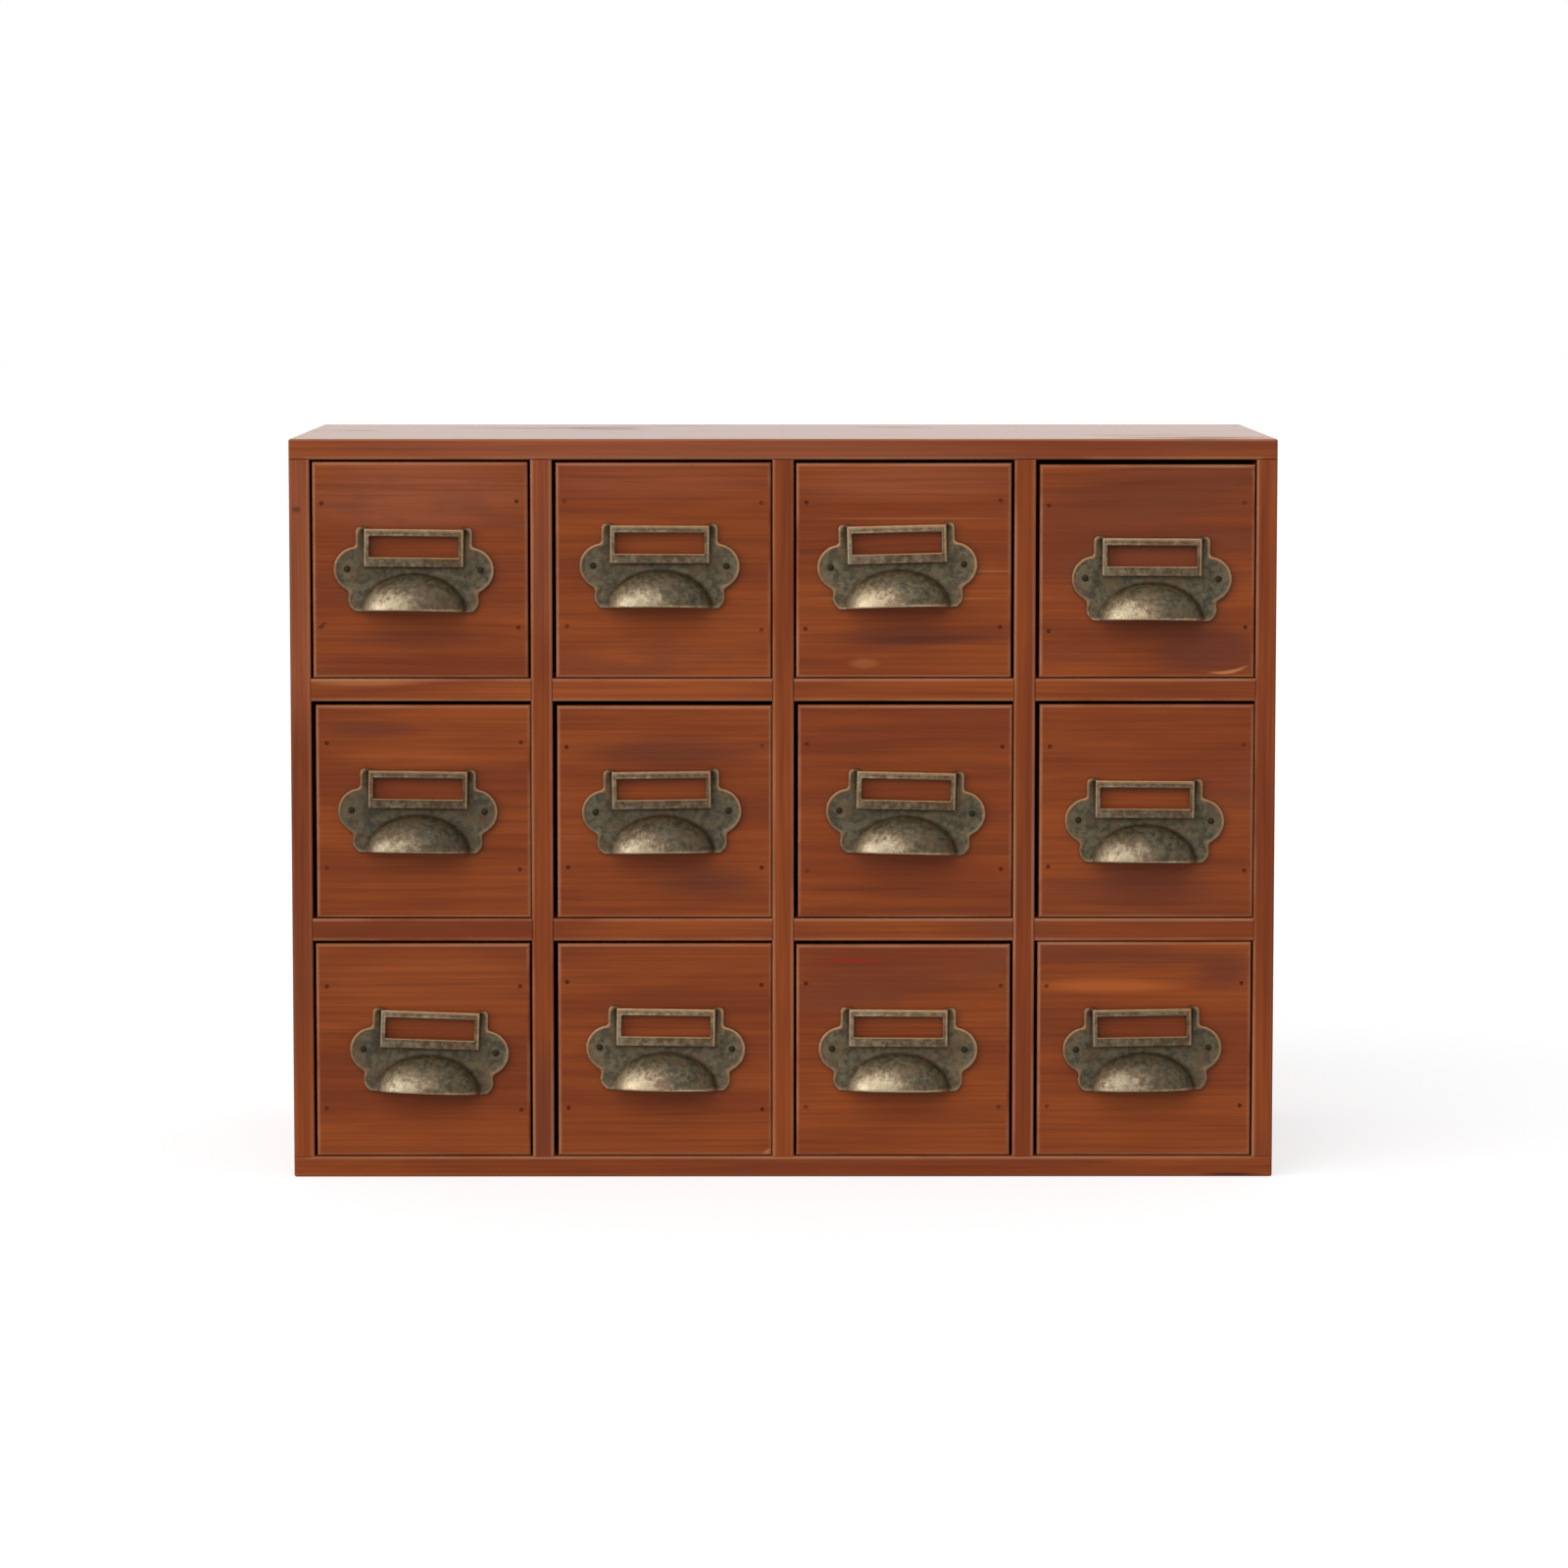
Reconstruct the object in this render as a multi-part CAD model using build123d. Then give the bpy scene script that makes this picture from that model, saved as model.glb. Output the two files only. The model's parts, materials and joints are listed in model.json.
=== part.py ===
from build123d import *
import os
from random import Random
from typing import NamedTuple

# Seed storage cabinet: a tabletop case of nailed boards with twelve drawers, four across and three high.
# Millimetres, +Z up. The origin is the centre of the case's underside. +X is to the right of someone
# facing the drawers, and the drawers pull out towards -Y.

# --- Case -------------------------------------------------------------------------------------------
CASE_WIDTH = 400.0
CASE_HEIGHT = 301.5
CASE_DEPTH = 185.0  # front edges to the outside of the back panel
SHELL_THICKNESS = 8.4  # top, bottom and side boards
DIVIDER_THICKNESS = 8.7  # upright boards between the columns
SHELF_THICKNESS = 9.2  # level boards between the rows
BACK_THICKNESS = 3.0
BACK_INSET = 1.0  # the back panel stops this far inside the case's outline
COLUMNS = 4
ROWS = 3
EDGE_ROUND = 0.9  # sanded arrises of the case boards
LAP_CLEARANCE = 0.1  # total slack where a divider and a shelf are halved into each other

# --- Drawers ----------------------------------------------------------------------------------------
FRONT_THICKNESS = 9.0
FRONT_SIDE_GAP = 1.0  # each side of a centred front
FRONT_LEAST_GAP = 0.15  # what is left on the near side of a front that sits to one side
FRONT_BOTTOM_GAP = 0.25
FRONT_RECESS = 0.3  # the fronts stand this far behind the case's front edges
FRONT_ROUND = 1.3  # sanded arris round a front's face
BOX_INSET = 0.6  # the box is this much narrower than the front, each side
BOX_LIFT = 0.2  # running clearance under the sides
BOX_SIDE_THICKNESS = 7.0
BOX_TOP_GAP = 7.6  # over the sides, under the next board
BOX_BACK_THICKNESS = 6.0
BOX_BACK_DROP = 3.0  # the back is this much lower than the sides
BOX_REAR_GAP = 0.9  # behind a closed drawer, in front of the back panel
BOX_ROUND = 0.8  # top arrises of the box
FLOOR_THICKNESS = 3.0
FLOOR_HEIGHT = 4.5  # underside of the floor above the bottom edge of the sides
GROOVE_DEPTH = 3.0
GROOVE_CLEARANCE = 0.2  # total slack of the floor in its grooves


class Fitting(NamedTuple):
    """How one drawer was fitted by hand."""

    side: float  # where the front sits in its cell, from hard left (-1) to hard right (1)
    top_gap: float  # between the front and the board over it
    pull_right: float  # the pull's place to the right of its nominal one
    pull_up: float  # and above it
    lean: float  # the pull's clockwise lean, in degrees


# Row by row from the top left.
FITTINGS = [
    Fitting(side=0.0, top_gap=0.9, pull_right=-2.5, pull_up=0.0, lean=0.6),
    Fitting(side=0.6, top_gap=1.2, pull_right=-1.5, pull_up=1.5, lean=0.2),
    Fitting(side=-0.2, top_gap=1.4, pull_right=-2.6, pull_up=1.5, lean=-1.4),
    Fitting(side=0.6, top_gap=2.0, pull_right=1.8, pull_up=-3.7, lean=0.3),
    Fitting(side=0.9, top_gap=1.5, pull_right=-2.2, pull_up=-0.2, lean=0.7),
    Fitting(side=0.9, top_gap=1.8, pull_right=-1.1, pull_up=-0.4, lean=-0.7),
    Fitting(side=0.7, top_gap=1.5, pull_right=0.2, pull_up=-0.7, lean=1.3),
    Fitting(side=0.9, top_gap=1.3, pull_right=-0.8, pull_up=-4.2, lean=0.4),
    Fitting(side=0.1, top_gap=1.1, pull_right=2.6, pull_up=-0.7, lean=1.9),
    Fitting(side=0.9, top_gap=1.1, pull_right=0.3, pull_up=0.4, lean=0.8),
    Fitting(side=-0.1, top_gap=1.5, pull_right=-2.0, pull_up=0.0, lean=0.4),
    Fitting(side=0.4, top_gap=0.4, pull_right=-0.8, pull_up=0.2, lean=-0.9),
]

# --- Cup pull with a label frame --------------------------------------------------------------------
PIN_INSET = 5.5  # each pin from its lobe's tip
PLATE_WIDTH = 65.0
PLATE_THICKNESS = 1.3  # inside the raised rim
RIM_WIDTH = 0.9
RIM_HEIGHT = 0.5
LOBE_TOP = 9.7  # where the side lobe leaves the ear, above the pin line
LOBE_TIP_RISE = 1.2  # the lobe's widest point above the pin line
NOTCH_INSET = 6.5  # from the lobe's tip in to the notch below it
NOTCH_DROP = 9.5  # the notch below the pin line
FOOT_OVERHANG = 5.7  # the foot's widest point outside the cup
FOOT_RISE = 3.8  # the foot's widest point above the cup's mouth
FRAME_WIDTH = 40.2
FRAME_HEIGHT = 15.4
FRAME_BASE = 1.0  # frame's lower edge above the pin line
FRAME_STAND = 3.1  # face of the frame above the drawer front
FRAME_SIDE_BAR = 2.0
FRAME_TOP_BAR = 3.1
FRAME_LOWER_BAR = 4.0
SLOT_DEPTH = 1.5  # room for a card behind the frame, open at the top
SLOT_WALL = 1.1  # frame wall left beside and under the card
EAR_WIDTH = 2.9
EAR_RISE = 0.8  # ears over the top of the frame
EAR_ROUND = 1.4
CUP_WIDTH = 41.8
CUP_HEIGHT = 15.5
CUP_PROJECTION = 13.5
CUP_WALL = 1.5
CUP_MOUTH = 17.4  # the mouth below the pin line
CUP_MOUTH_RISE = 1.4  # the lip's middle is this much higher than its ends

# --- Nails and pins ---------------------------------------------------------------------------------
NAIL_RADIUS = 0.65
NAIL_HEAD_RADIUS = 0.85
NAIL_HEAD_THICKNESS = 0.8
NAIL_LENGTH = 24.0
NAIL_TIP = 2.0
NAIL_SUNK = 0.25  # heads are punched in below the wood's surface
NAIL_FIT = 0.02  # radial slack of every nail in its hole
NAIL_SCATTER = 1.1  # hand-driven nails stray this far along a board
NAIL_STRAY = 0.5  # and this far across it
FRONT_NAIL_LOW = 20.0  # lower nail above the sides' bottom edge
FRONT_NAIL_HIGH = 10.0  # upper nail below the sides' top edge
CASE_NAIL_END = 22.0  # first and last nail of a joint from the board's ends
CASE_NAILS_PER_JOINT = 3
BACK_NAIL_LENGTH = 14.0
BACK_NAIL_SPACING = 64.0  # widest spacing round the back panel
FLOOR_NAIL_LENGTH = 12.0
PIN_RADIUS = 0.7
PIN_HEAD_RADIUS = 1.35
PIN_HEAD_HEIGHT = 0.8
PIN_LENGTH = 8.0  # under the head

# --- Derived places ---------------------------------------------------------------------------------
RIGHT = CASE_WIDTH / 2
FRONT = -CASE_DEPTH / 2
REAR = CASE_DEPTH / 2 - BACK_THICKNESS  # rear edges of the case boards
LAP = (FRONT + REAR) / 2  # where the halved joints meet
CELL_WIDTH = (CASE_WIDTH - 2 * SHELL_THICKNESS - (COLUMNS - 1) * DIVIDER_THICKNESS) / COLUMNS
CELL_HEIGHT = (CASE_HEIGHT - 2 * SHELL_THICKNESS - (ROWS - 1) * SHELF_THICKNESS) / ROWS
BOX_FRONT = FRONT + FRONT_RECESS + FRONT_THICKNESS  # where a drawer's sides meet its front
BOX_REAR = REAR - BOX_REAR_GAP
BOX_WIDTH = CELL_WIDTH - 2 * FRONT_SIDE_GAP - 2 * BOX_INSET
BOX_SIDE_HEIGHT = CELL_HEIGHT - BOX_LIFT - BOX_TOP_GAP
PIN_X = PLATE_WIDTH / 2 - PIN_INSET  # either side of the pull's middle
FLOOR_SPAN = BOX_WIDTH - 2 * BOX_SIDE_THICKNESS + 2 * GROOVE_DEPTH  # between the groove bottoms


def cell_left(column):
    """Left wall of a column of cells, counted from 0 at the left."""
    return SHELL_THICKNESS - RIGHT + column * (CELL_WIDTH + DIVIDER_THICKNESS)


def cell_floor(row):
    """Floor of a row of cells, counted from 0 at the top."""
    return SHELL_THICKNESS + (ROWS - 1 - row) * (CELL_HEIGHT + SHELF_THICKNESS)


def block(x, y, z):
    """A box from its (low, high) pair along each axis."""
    size = [high - low for low, high in (x, y, z)]
    return Pos(*[(low + high) / 2 for low, high in (x, y, z)]) * Box(*size)


def eased(board, edges, radius, thickness):
    """The board with those edges rounded, by less than half its thickness."""
    return fillet(edges, min(radius, 0.45 * thickness))


# --- Nails ------------------------------------------------------------------------------------------
def nail(place, direction, length, slack=0.0):
    """A nail driven from a point on a surface along a direction; with slack, the hole that takes it."""
    top = -1.0 if slack else NAIL_SUNK
    neck = NAIL_SUNK + NAIL_HEAD_THICKNESS
    profile = Polyline(
        (0, top),
        (NAIL_HEAD_RADIUS + slack, top),
        (NAIL_HEAD_RADIUS + slack, neck),
        (NAIL_RADIUS + slack, neck),
        (NAIL_RADIUS + slack, length - NAIL_TIP),
        (0, length),
        close=True,
    )
    turned = revolve(Plane.XZ * make_face(profile), Axis.Z)
    return Plane(origin=place, z_dir=direction) * turned


def driven(nails):
    """The nails of a list of (place, direction, length) as solids."""
    return [nail(*one) for one in nails]


def holed(board, nails):
    """The board with a hole for each nail that reaches it."""
    box = board.bounding_box()
    for one in nails:
        hole = nail(*one, slack=NAIL_FIT)
        if box.overlaps(hole.bounding_box()):
            board = board - hole
    return board


def spread(low, high, count):
    """Evenly spaced places from low to high."""
    return [low + (high - low) * i / (count - 1) for i in range(count)]


# --- Case -------------------------------------------------------------------------------------------
def level_board(z, outer):
    """The top or bottom board, which runs the full width over the ends of the sides. Its front edge and
    its outer face, the first or the last going up, are eased."""
    board = block((-RIGHT, RIGHT), (FRONT, REAR), z)
    front = board.faces().sort_by(Axis.Y)[0].edges()
    return eased(board, front + board.faces().sort_by(Axis.Z)[outer].edges(), EDGE_ROUND, SHELL_THICKNESS)


def upright(x):
    """A side board or divider between the top and bottom boards, with its front arrises sanded."""
    board = block(x, (FRONT, REAR), (SHELL_THICKNESS, CASE_HEIGHT - SHELL_THICKNESS))
    front = board.faces().sort_by(Axis.Y)[0].edges().filter_by(Axis.Z)
    return eased(board, front, EDGE_ROUND, x[1] - x[0])


def shelf_span(row):
    """Bottom and top of the shelf under a row of cells."""
    return cell_floor(row) - SHELF_THICKNESS, cell_floor(row)


def divider_span(column):
    """Left and right face of the divider to the right of a column of cells."""
    left = cell_left(column) + CELL_WIDTH
    return left, left + DIVIDER_THICKNESS


def widened(span, slack):
    return span[0] - slack / 2, span[1] + slack / 2


def divider(column):
    """A full-height divider, slotted from the rear at each shelf."""
    board = upright(divider_span(column))
    for row in range(ROWS - 1):
        slot = widened(shelf_span(row), LAP_CLEARANCE)
        board -= block(widened(divider_span(column), 2.0), (LAP, REAR + 1), slot)
    return board


def shelf(row):
    """A full-width shelf, slotted from the front at each divider."""
    board = block((SHELL_THICKNESS - RIGHT, RIGHT - SHELL_THICKNESS), (FRONT, REAR), shelf_span(row))
    front = board.faces().sort_by(Axis.Y)[0].edges().filter_by(Axis.X)
    board = eased(board, front, EDGE_ROUND, SHELF_THICKNESS)
    for column in range(COLUMNS - 1):
        slot = widened(divider_span(column), LAP_CLEARANCE)
        board -= block(slot, (FRONT - 1, LAP), widened(shelf_span(row), 2.0))
    return board


def case_nails():
    """Nails through the top and bottom into every upright, and through the sides into the shelves."""
    along = spread(FRONT + CASE_NAIL_END, REAR - CASE_NAIL_END, CASE_NAILS_PER_JOINT)
    uprights = [SHELL_THICKNESS / 2 - RIGHT, RIGHT - SHELL_THICKNESS / 2]
    uprights += [sum(divider_span(column)) / 2 for column in range(COLUMNS - 1)]
    nails = []
    for y in along:
        for x in uprights:
            nails.append(((x, y, CASE_HEIGHT), (0, 0, -1), NAIL_LENGTH))
            nails.append(((x, y, 0), (0, 0, 1), NAIL_LENGTH))
        for row in range(ROWS - 1):
            z = sum(shelf_span(row)) / 2
            nails.append(((-RIGHT, y, z), (1, 0, 0), NAIL_LENGTH))
            nails.append(((RIGHT, y, z), (-1, 0, 0), NAIL_LENGTH))
    return nails


def back_nails():
    """Short nails round the back panel, into the rear edges of the shell."""
    x_edge = RIGHT - SHELL_THICKNESS / 2
    z_low, z_high = SHELL_THICKNESS / 2, CASE_HEIGHT - SHELL_THICKNESS / 2
    across = int(2 * x_edge // BACK_NAIL_SPACING) + 2
    upward = int((z_high - z_low) // BACK_NAIL_SPACING) + 2
    places = [(x, z) for x in spread(-x_edge, x_edge, across) for z in (z_low, z_high)]
    places += [(x, z) for x in (-x_edge, x_edge) for z in spread(z_low, z_high, upward)[1:-1]]
    return [((x, CASE_DEPTH / 2, z), (0, -1, 0), BACK_NAIL_LENGTH) for x, z in places]


def build_case():
    """Every piece of the case by node name."""
    nails, rear_nails = case_nails(), back_nails()
    left, right = SHELL_THICKNESS - RIGHT, RIGHT - SHELL_THICKNESS
    back = block(
        (BACK_INSET - RIGHT, RIGHT - BACK_INSET),
        (REAR, REAR + BACK_THICKNESS),
        (BACK_INSET, CASE_HEIGHT - BACK_INSET),
    )
    boards = {
        "case_top": level_board((CASE_HEIGHT - SHELL_THICKNESS, CASE_HEIGHT), outer=-1),
        "case_bottom": level_board((0, SHELL_THICKNESS), outer=0),
        "case_left_side": upright((-RIGHT, left)),
        "case_right_side": upright((right, RIGHT)),
    }
    for column in range(COLUMNS - 1):
        boards[f"divider_{column + 1}"] = divider(column)
    for row in range(ROWS - 1):
        boards[f"shelf_{row + 1}"] = shelf(row)
    nodes = {name: holed(board, nails + rear_nails) for name, board in boards.items()}
    nodes["back_panel"] = holed(back, rear_nails)
    nodes["case_nails"] = driven(nails)
    nodes["back_panel_nails"] = driven(rear_nails)
    return nodes


# --- Pull -------------------------------------------------------------------------------------------
# In its own frame: the pin line is z = 0, the back of the plate is y = 0 and the cup reaches out to -Y.
# Nominally the pin line is at half the height of the drawer's cell.
def plate_outline():
    """The plate's outline: ears beside the frame, a round lobe with a pin at each side, and small feet."""
    frame_top = FRAME_BASE + FRAME_HEIGHT
    ear = FRAME_WIDTH / 2 + EAR_WIDTH
    ear_top = frame_top + EAR_RISE
    ear_inner = FRAME_WIDTH / 2 - EAR_ROUND
    tip = PLATE_WIDTH / 2
    notch = (tip - NOTCH_INSET, -NOTCH_DROP)
    foot_side = (CUP_WIDTH / 2 + FOOT_OVERHANG, FOOT_RISE - CUP_MOUTH)
    foot_end = (CUP_WIDTH / 2 + FOOT_OVERHANG - FOOT_RISE, -CUP_MOUTH)
    half = [
        Line((0, frame_top), (ear_inner, frame_top)),
        Line((ear_inner, frame_top), (ear_inner + EAR_ROUND, ear_top)),
        Line((ear_inner + EAR_ROUND, ear_top), (ear - EAR_ROUND, ear_top)),
        ThreePointArc(
            (ear - EAR_ROUND, ear_top),
            (ear - 0.3 * EAR_ROUND, ear_top - 0.3 * EAR_ROUND),
            (ear, ear_top - EAR_ROUND),
        ),
        Line((ear, ear_top - EAR_ROUND), (ear, LOBE_TOP + EAR_ROUND)),
        Line((ear, LOBE_TOP + EAR_ROUND), (ear + EAR_ROUND, LOBE_TOP)),
        ThreePointArc((ear + EAR_ROUND, LOBE_TOP), (tip, LOBE_TIP_RISE), notch),
        ThreePointArc(notch, foot_side, foot_end),
        Line(foot_end, (0, -CUP_MOUTH)),
    ]
    curve = Curve() + half + [mirror(one, Plane.YZ) for one in half]
    return make_face(curve)


def ellipsoid(grow):
    """The cup's ellipsoid about the middle of its mouth, larger or smaller by grow."""
    axes = (CUP_WIDTH / 2 + grow, CUP_PROJECTION + grow, CUP_HEIGHT + grow)
    return Pos(0, 0, -CUP_MOUTH) * scale(Sphere(1), by=axes)


def pull():
    """A cast cup pull: plate with a raised rim, label frame with a card slot, and a hollow cup."""
    outline = plate_outline()
    half_frame = FRAME_WIDTH / 2
    frame_top = FRAME_BASE + FRAME_HEIGHT
    reach = 2 * (CUP_PROJECTION + CUP_WIDTH)
    plate = extrude(Plane.XZ * outline, PLATE_THICKNESS + RIM_HEIGHT)
    pan = extrude(Plane.XZ * offset(outline, -RIM_WIDTH, kind=Kind.INTERSECTION), RIM_HEIGHT)
    body = plate - Pos(0, -PLATE_THICKNESS, 0) * pan
    body += block((-half_frame, half_frame), (-FRAME_STAND, 0), (FRAME_BASE, frame_top))
    body += ellipsoid(0) & block((-reach, reach), (-reach, 0), (-CUP_MOUTH, reach))
    body -= ellipsoid(-CUP_WALL)
    window = (FRAME_BASE + FRAME_LOWER_BAR, frame_top - FRAME_TOP_BAR)
    half_window = half_frame - FRAME_SIDE_BAR
    body -= block((-half_window, half_window), (-FRAME_STAND - 1, 1), window)
    half_slot = half_frame - SLOT_WALL
    body -= block((-half_slot, half_slot), (-SLOT_DEPTH, 1), (FRAME_BASE + SLOT_WALL, frame_top + 1))
    mouth_lean = Rot(X=-Vector(0, -CUP_PROJECTION, CUP_MOUTH_RISE).get_angle(Vector(0, -1, 0)))
    under = block((-reach, reach), (-reach, reach), (-reach, 0))
    body -= Pos(0, 0, -CUP_MOUTH) * mouth_lean * under
    for x in (-PIN_X, PIN_X):
        body -= Pos(x, 0, 0) * Rot(X=90) * Cylinder(PIN_RADIUS + NAIL_FIT, 4 * PLATE_THICKNESS)
    return body.solids().sort_by(SortBy.VOLUME)[-1]


def pin(x, slack=0.0):
    """A dome-headed pin on the pull's pin line; with slack, the hole that it makes in the drawer front."""
    seat = -PLATE_THICKNESS
    shank = Cylinder(PIN_RADIUS + slack, PIN_LENGTH, align=(Align.CENTER, Align.CENTER, Align.MIN))
    if not slack:
        dome = scale(Sphere(1), by=(PIN_HEAD_RADIUS, PIN_HEAD_RADIUS, PIN_HEAD_HEIGHT))
        shank += dome & Pos(0, 0, -PIN_HEAD_RADIUS) * Box(*[2 * PIN_HEAD_RADIUS] * 3)
    return Plane(origin=(x, seat, 0), z_dir=(0, 1, 0)) * shank


# --- Drawers ----------------------------------------------------------------------------------------
def drawer_nails(centre, floor, number):
    """Nails of one drawer: through the front into the sides, through the sides into the back, and
    through the floor into the back. Each strays a little, the same way every time."""
    rng = Random(number)
    side_x = BOX_WIDTH / 2 - BOX_SIDE_THICKNESS / 2
    low = floor + BOX_LIFT + FRONT_NAIL_LOW
    high = floor + BOX_LIFT + BOX_SIDE_HEIGHT - FRONT_NAIL_HIGH
    back_y = BOX_REAR - BOX_BACK_THICKNESS / 2
    front_nails, box_nails = [], []
    for side in (-1, 1):
        for z in (low, high):
            x = centre + side * side_x + rng.uniform(-NAIL_STRAY, NAIL_STRAY)
            z_front = z + rng.uniform(-NAIL_SCATTER, NAIL_SCATTER)
            front_nails.append(((x, FRONT + FRONT_RECESS, z_front), (0, 1, 0), NAIL_LENGTH))
            z_back = z + rng.uniform(-NAIL_SCATTER, NAIL_SCATTER)
            place = (centre + side * BOX_WIDTH / 2, back_y, z_back)
            box_nails.append((place, (-side, 0, 0), NAIL_LENGTH))
        place = (centre + side * BOX_WIDTH / 4, back_y, floor + BOX_LIFT + FLOOR_HEIGHT)
        box_nails.append((place, (0, 0, 1), FLOOR_NAIL_LENGTH))
    return front_nails, box_nails


def drawer_front(centre, floor, top_gap, front_nails, pin_holes):
    """A drawer front with its face's arrises sanded and a groove for the floor in its rear."""
    half = CELL_WIDTH / 2 - FRONT_SIDE_GAP
    face_y = FRONT + FRONT_RECESS
    board = block(
        (centre - half, centre + half),
        (face_y, BOX_FRONT),
        (floor + FRONT_BOTTOM_GAP, floor + CELL_HEIGHT - top_gap),
    )
    face = board.faces().sort_by(Axis.Y)[0].edges()
    board = eased(board, face, FRONT_ROUND, FRONT_THICKNESS)
    board -= block(
        (centre - FLOOR_SPAN / 2, centre + FLOOR_SPAN / 2),
        (BOX_FRONT - GROOVE_DEPTH, BOX_FRONT + 1),
        floor_span(floor, GROOVE_CLEARANCE),
    )
    return holed(board, front_nails) - pin_holes


def floor_span(floor, slack=0.0):
    """Bottom and top of the drawer's floor panel, or of its groove."""
    low = floor + BOX_LIFT + FLOOR_HEIGHT
    return widened((low, low + FLOOR_THICKNESS), slack)


def drawer_box(centre, floor, nails):
    """The box behind a front: two grooved sides, a back that stands on the floor panel, and the panel."""
    low, high = floor + BOX_LIFT, floor + BOX_LIFT + BOX_SIDE_HEIGHT
    half = BOX_WIDTH / 2
    inner = half - BOX_SIDE_THICKNESS
    pieces = []
    for side in (-1, 1):
        x = sorted((centre + side * inner, centre + side * half))
        board = block(x, (BOX_FRONT, BOX_REAR), (low, high))
        top = board.faces().sort_by(Axis.Z)[-1].edges().filter_by(Axis.Y)
        board = eased(board, top, BOX_ROUND, BOX_SIDE_THICKNESS)
        groove_x = sorted((centre + side * (inner - 1), centre + side * (inner + GROOVE_DEPTH)))
        board -= block(groove_x, (BOX_FRONT - 1, BOX_REAR + 1), floor_span(floor, GROOVE_CLEARANCE))
        pieces.append(board)
    panel_half = FLOOR_SPAN / 2 - GROOVE_CLEARANCE / 2
    panel_y = (BOX_FRONT - GROOVE_DEPTH + GROOVE_CLEARANCE / 2, BOX_REAR)
    pieces.append(block((centre - panel_half, centre + panel_half), panel_y, floor_span(floor)))
    back_z = (floor_span(floor)[1], high - BOX_BACK_DROP)
    back = block((centre - inner, centre + inner), (BOX_REAR - BOX_BACK_THICKNESS, BOX_REAR), back_z)
    top = back.faces().sort_by(Axis.Z)[-1].edges().filter_by(Axis.X)
    pieces.append(eased(back, top, BOX_ROUND, BOX_BACK_THICKNESS))
    return [holed(piece, nails) for piece in pieces]


def build_drawer(number, row, column, cast_pull):
    """Every piece of one drawer by node name; drawers are numbered from 1 at the top left."""
    fitting = FITTINGS[(number - 1) % len(FITTINGS)]
    floor = cell_floor(row)
    shift = fitting.side * (FRONT_SIDE_GAP - FRONT_LEAST_GAP)
    centre = cell_left(column) + CELL_WIDTH / 2 + shift
    front_nails, box_nails = drawer_nails(centre, floor, number)
    pin_line = floor + CELL_HEIGHT / 2 + fitting.pull_up
    pull_at = (centre + fitting.pull_right, FRONT + FRONT_RECESS, pin_line)
    pull_place = Location(pull_at, (0, fitting.lean, 0))
    pin_holes = [pull_place * pin(x, slack=NAIL_FIT) for x in (-PIN_X, PIN_X)]
    nails = driven(front_nails + box_nails) + [pull_place * pin(x) for x in (-PIN_X, PIN_X)]
    name = f"drawer_{number:02d}"
    return {
        f"{name}_front": drawer_front(centre, floor, fitting.top_gap, front_nails, pin_holes),
        f"{name}_box": drawer_box(centre, floor, front_nails + box_nails),
        f"{name}_pull": pull_place * cast_pull,
        f"{name}_nails": nails,
    }


def main():
    nodes = build_case()
    cast_pull = pull()
    for row in range(ROWS):
        for column in range(COLUMNS):
            nodes.update(build_drawer(row * COLUMNS + column + 1, row, column, cast_pull))
    os.makedirs("parts", exist_ok=True)
    for name, shape in nodes.items():
        whole = Compound(children=shape) if isinstance(shape, list) else shape
        export_step(whole, f"parts/{name}.step")


main()
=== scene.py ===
"""Looks of the seed storage cabinet: stained boards, bare drawer boxes, brass pulls and iron nails."""

import json
import math
from typing import NamedTuple

import bpy
import numpy as np
from mathutils import Matrix, Vector

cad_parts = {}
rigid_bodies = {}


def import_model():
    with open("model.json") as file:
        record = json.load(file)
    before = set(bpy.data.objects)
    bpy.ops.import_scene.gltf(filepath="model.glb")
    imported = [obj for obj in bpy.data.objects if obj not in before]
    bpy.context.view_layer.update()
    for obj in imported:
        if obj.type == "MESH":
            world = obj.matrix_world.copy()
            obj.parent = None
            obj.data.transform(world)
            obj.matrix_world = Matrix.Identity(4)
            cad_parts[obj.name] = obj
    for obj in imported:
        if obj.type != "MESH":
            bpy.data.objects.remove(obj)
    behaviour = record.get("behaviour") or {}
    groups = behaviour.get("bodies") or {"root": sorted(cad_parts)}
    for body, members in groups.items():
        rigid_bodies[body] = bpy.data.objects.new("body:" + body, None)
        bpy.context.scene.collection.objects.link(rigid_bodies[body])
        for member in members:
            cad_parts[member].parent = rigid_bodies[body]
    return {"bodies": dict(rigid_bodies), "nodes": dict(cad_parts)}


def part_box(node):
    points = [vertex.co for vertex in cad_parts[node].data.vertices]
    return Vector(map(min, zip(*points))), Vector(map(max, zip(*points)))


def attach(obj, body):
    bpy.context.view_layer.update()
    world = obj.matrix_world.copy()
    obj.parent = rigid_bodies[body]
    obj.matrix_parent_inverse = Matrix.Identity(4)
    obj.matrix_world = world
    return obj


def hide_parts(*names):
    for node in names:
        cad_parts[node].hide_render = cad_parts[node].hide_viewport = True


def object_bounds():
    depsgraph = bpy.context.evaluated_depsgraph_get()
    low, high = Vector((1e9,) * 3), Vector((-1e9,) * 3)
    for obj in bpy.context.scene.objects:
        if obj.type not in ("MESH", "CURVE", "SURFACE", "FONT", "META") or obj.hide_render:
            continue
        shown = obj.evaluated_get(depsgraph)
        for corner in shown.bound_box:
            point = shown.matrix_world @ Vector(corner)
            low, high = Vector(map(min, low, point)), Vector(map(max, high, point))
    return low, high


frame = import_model()
cad_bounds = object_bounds()

MM = 0.001
DRAWERS = sorted(body for body in frame["bodies"] if body.startswith("drawer_"))

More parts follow.
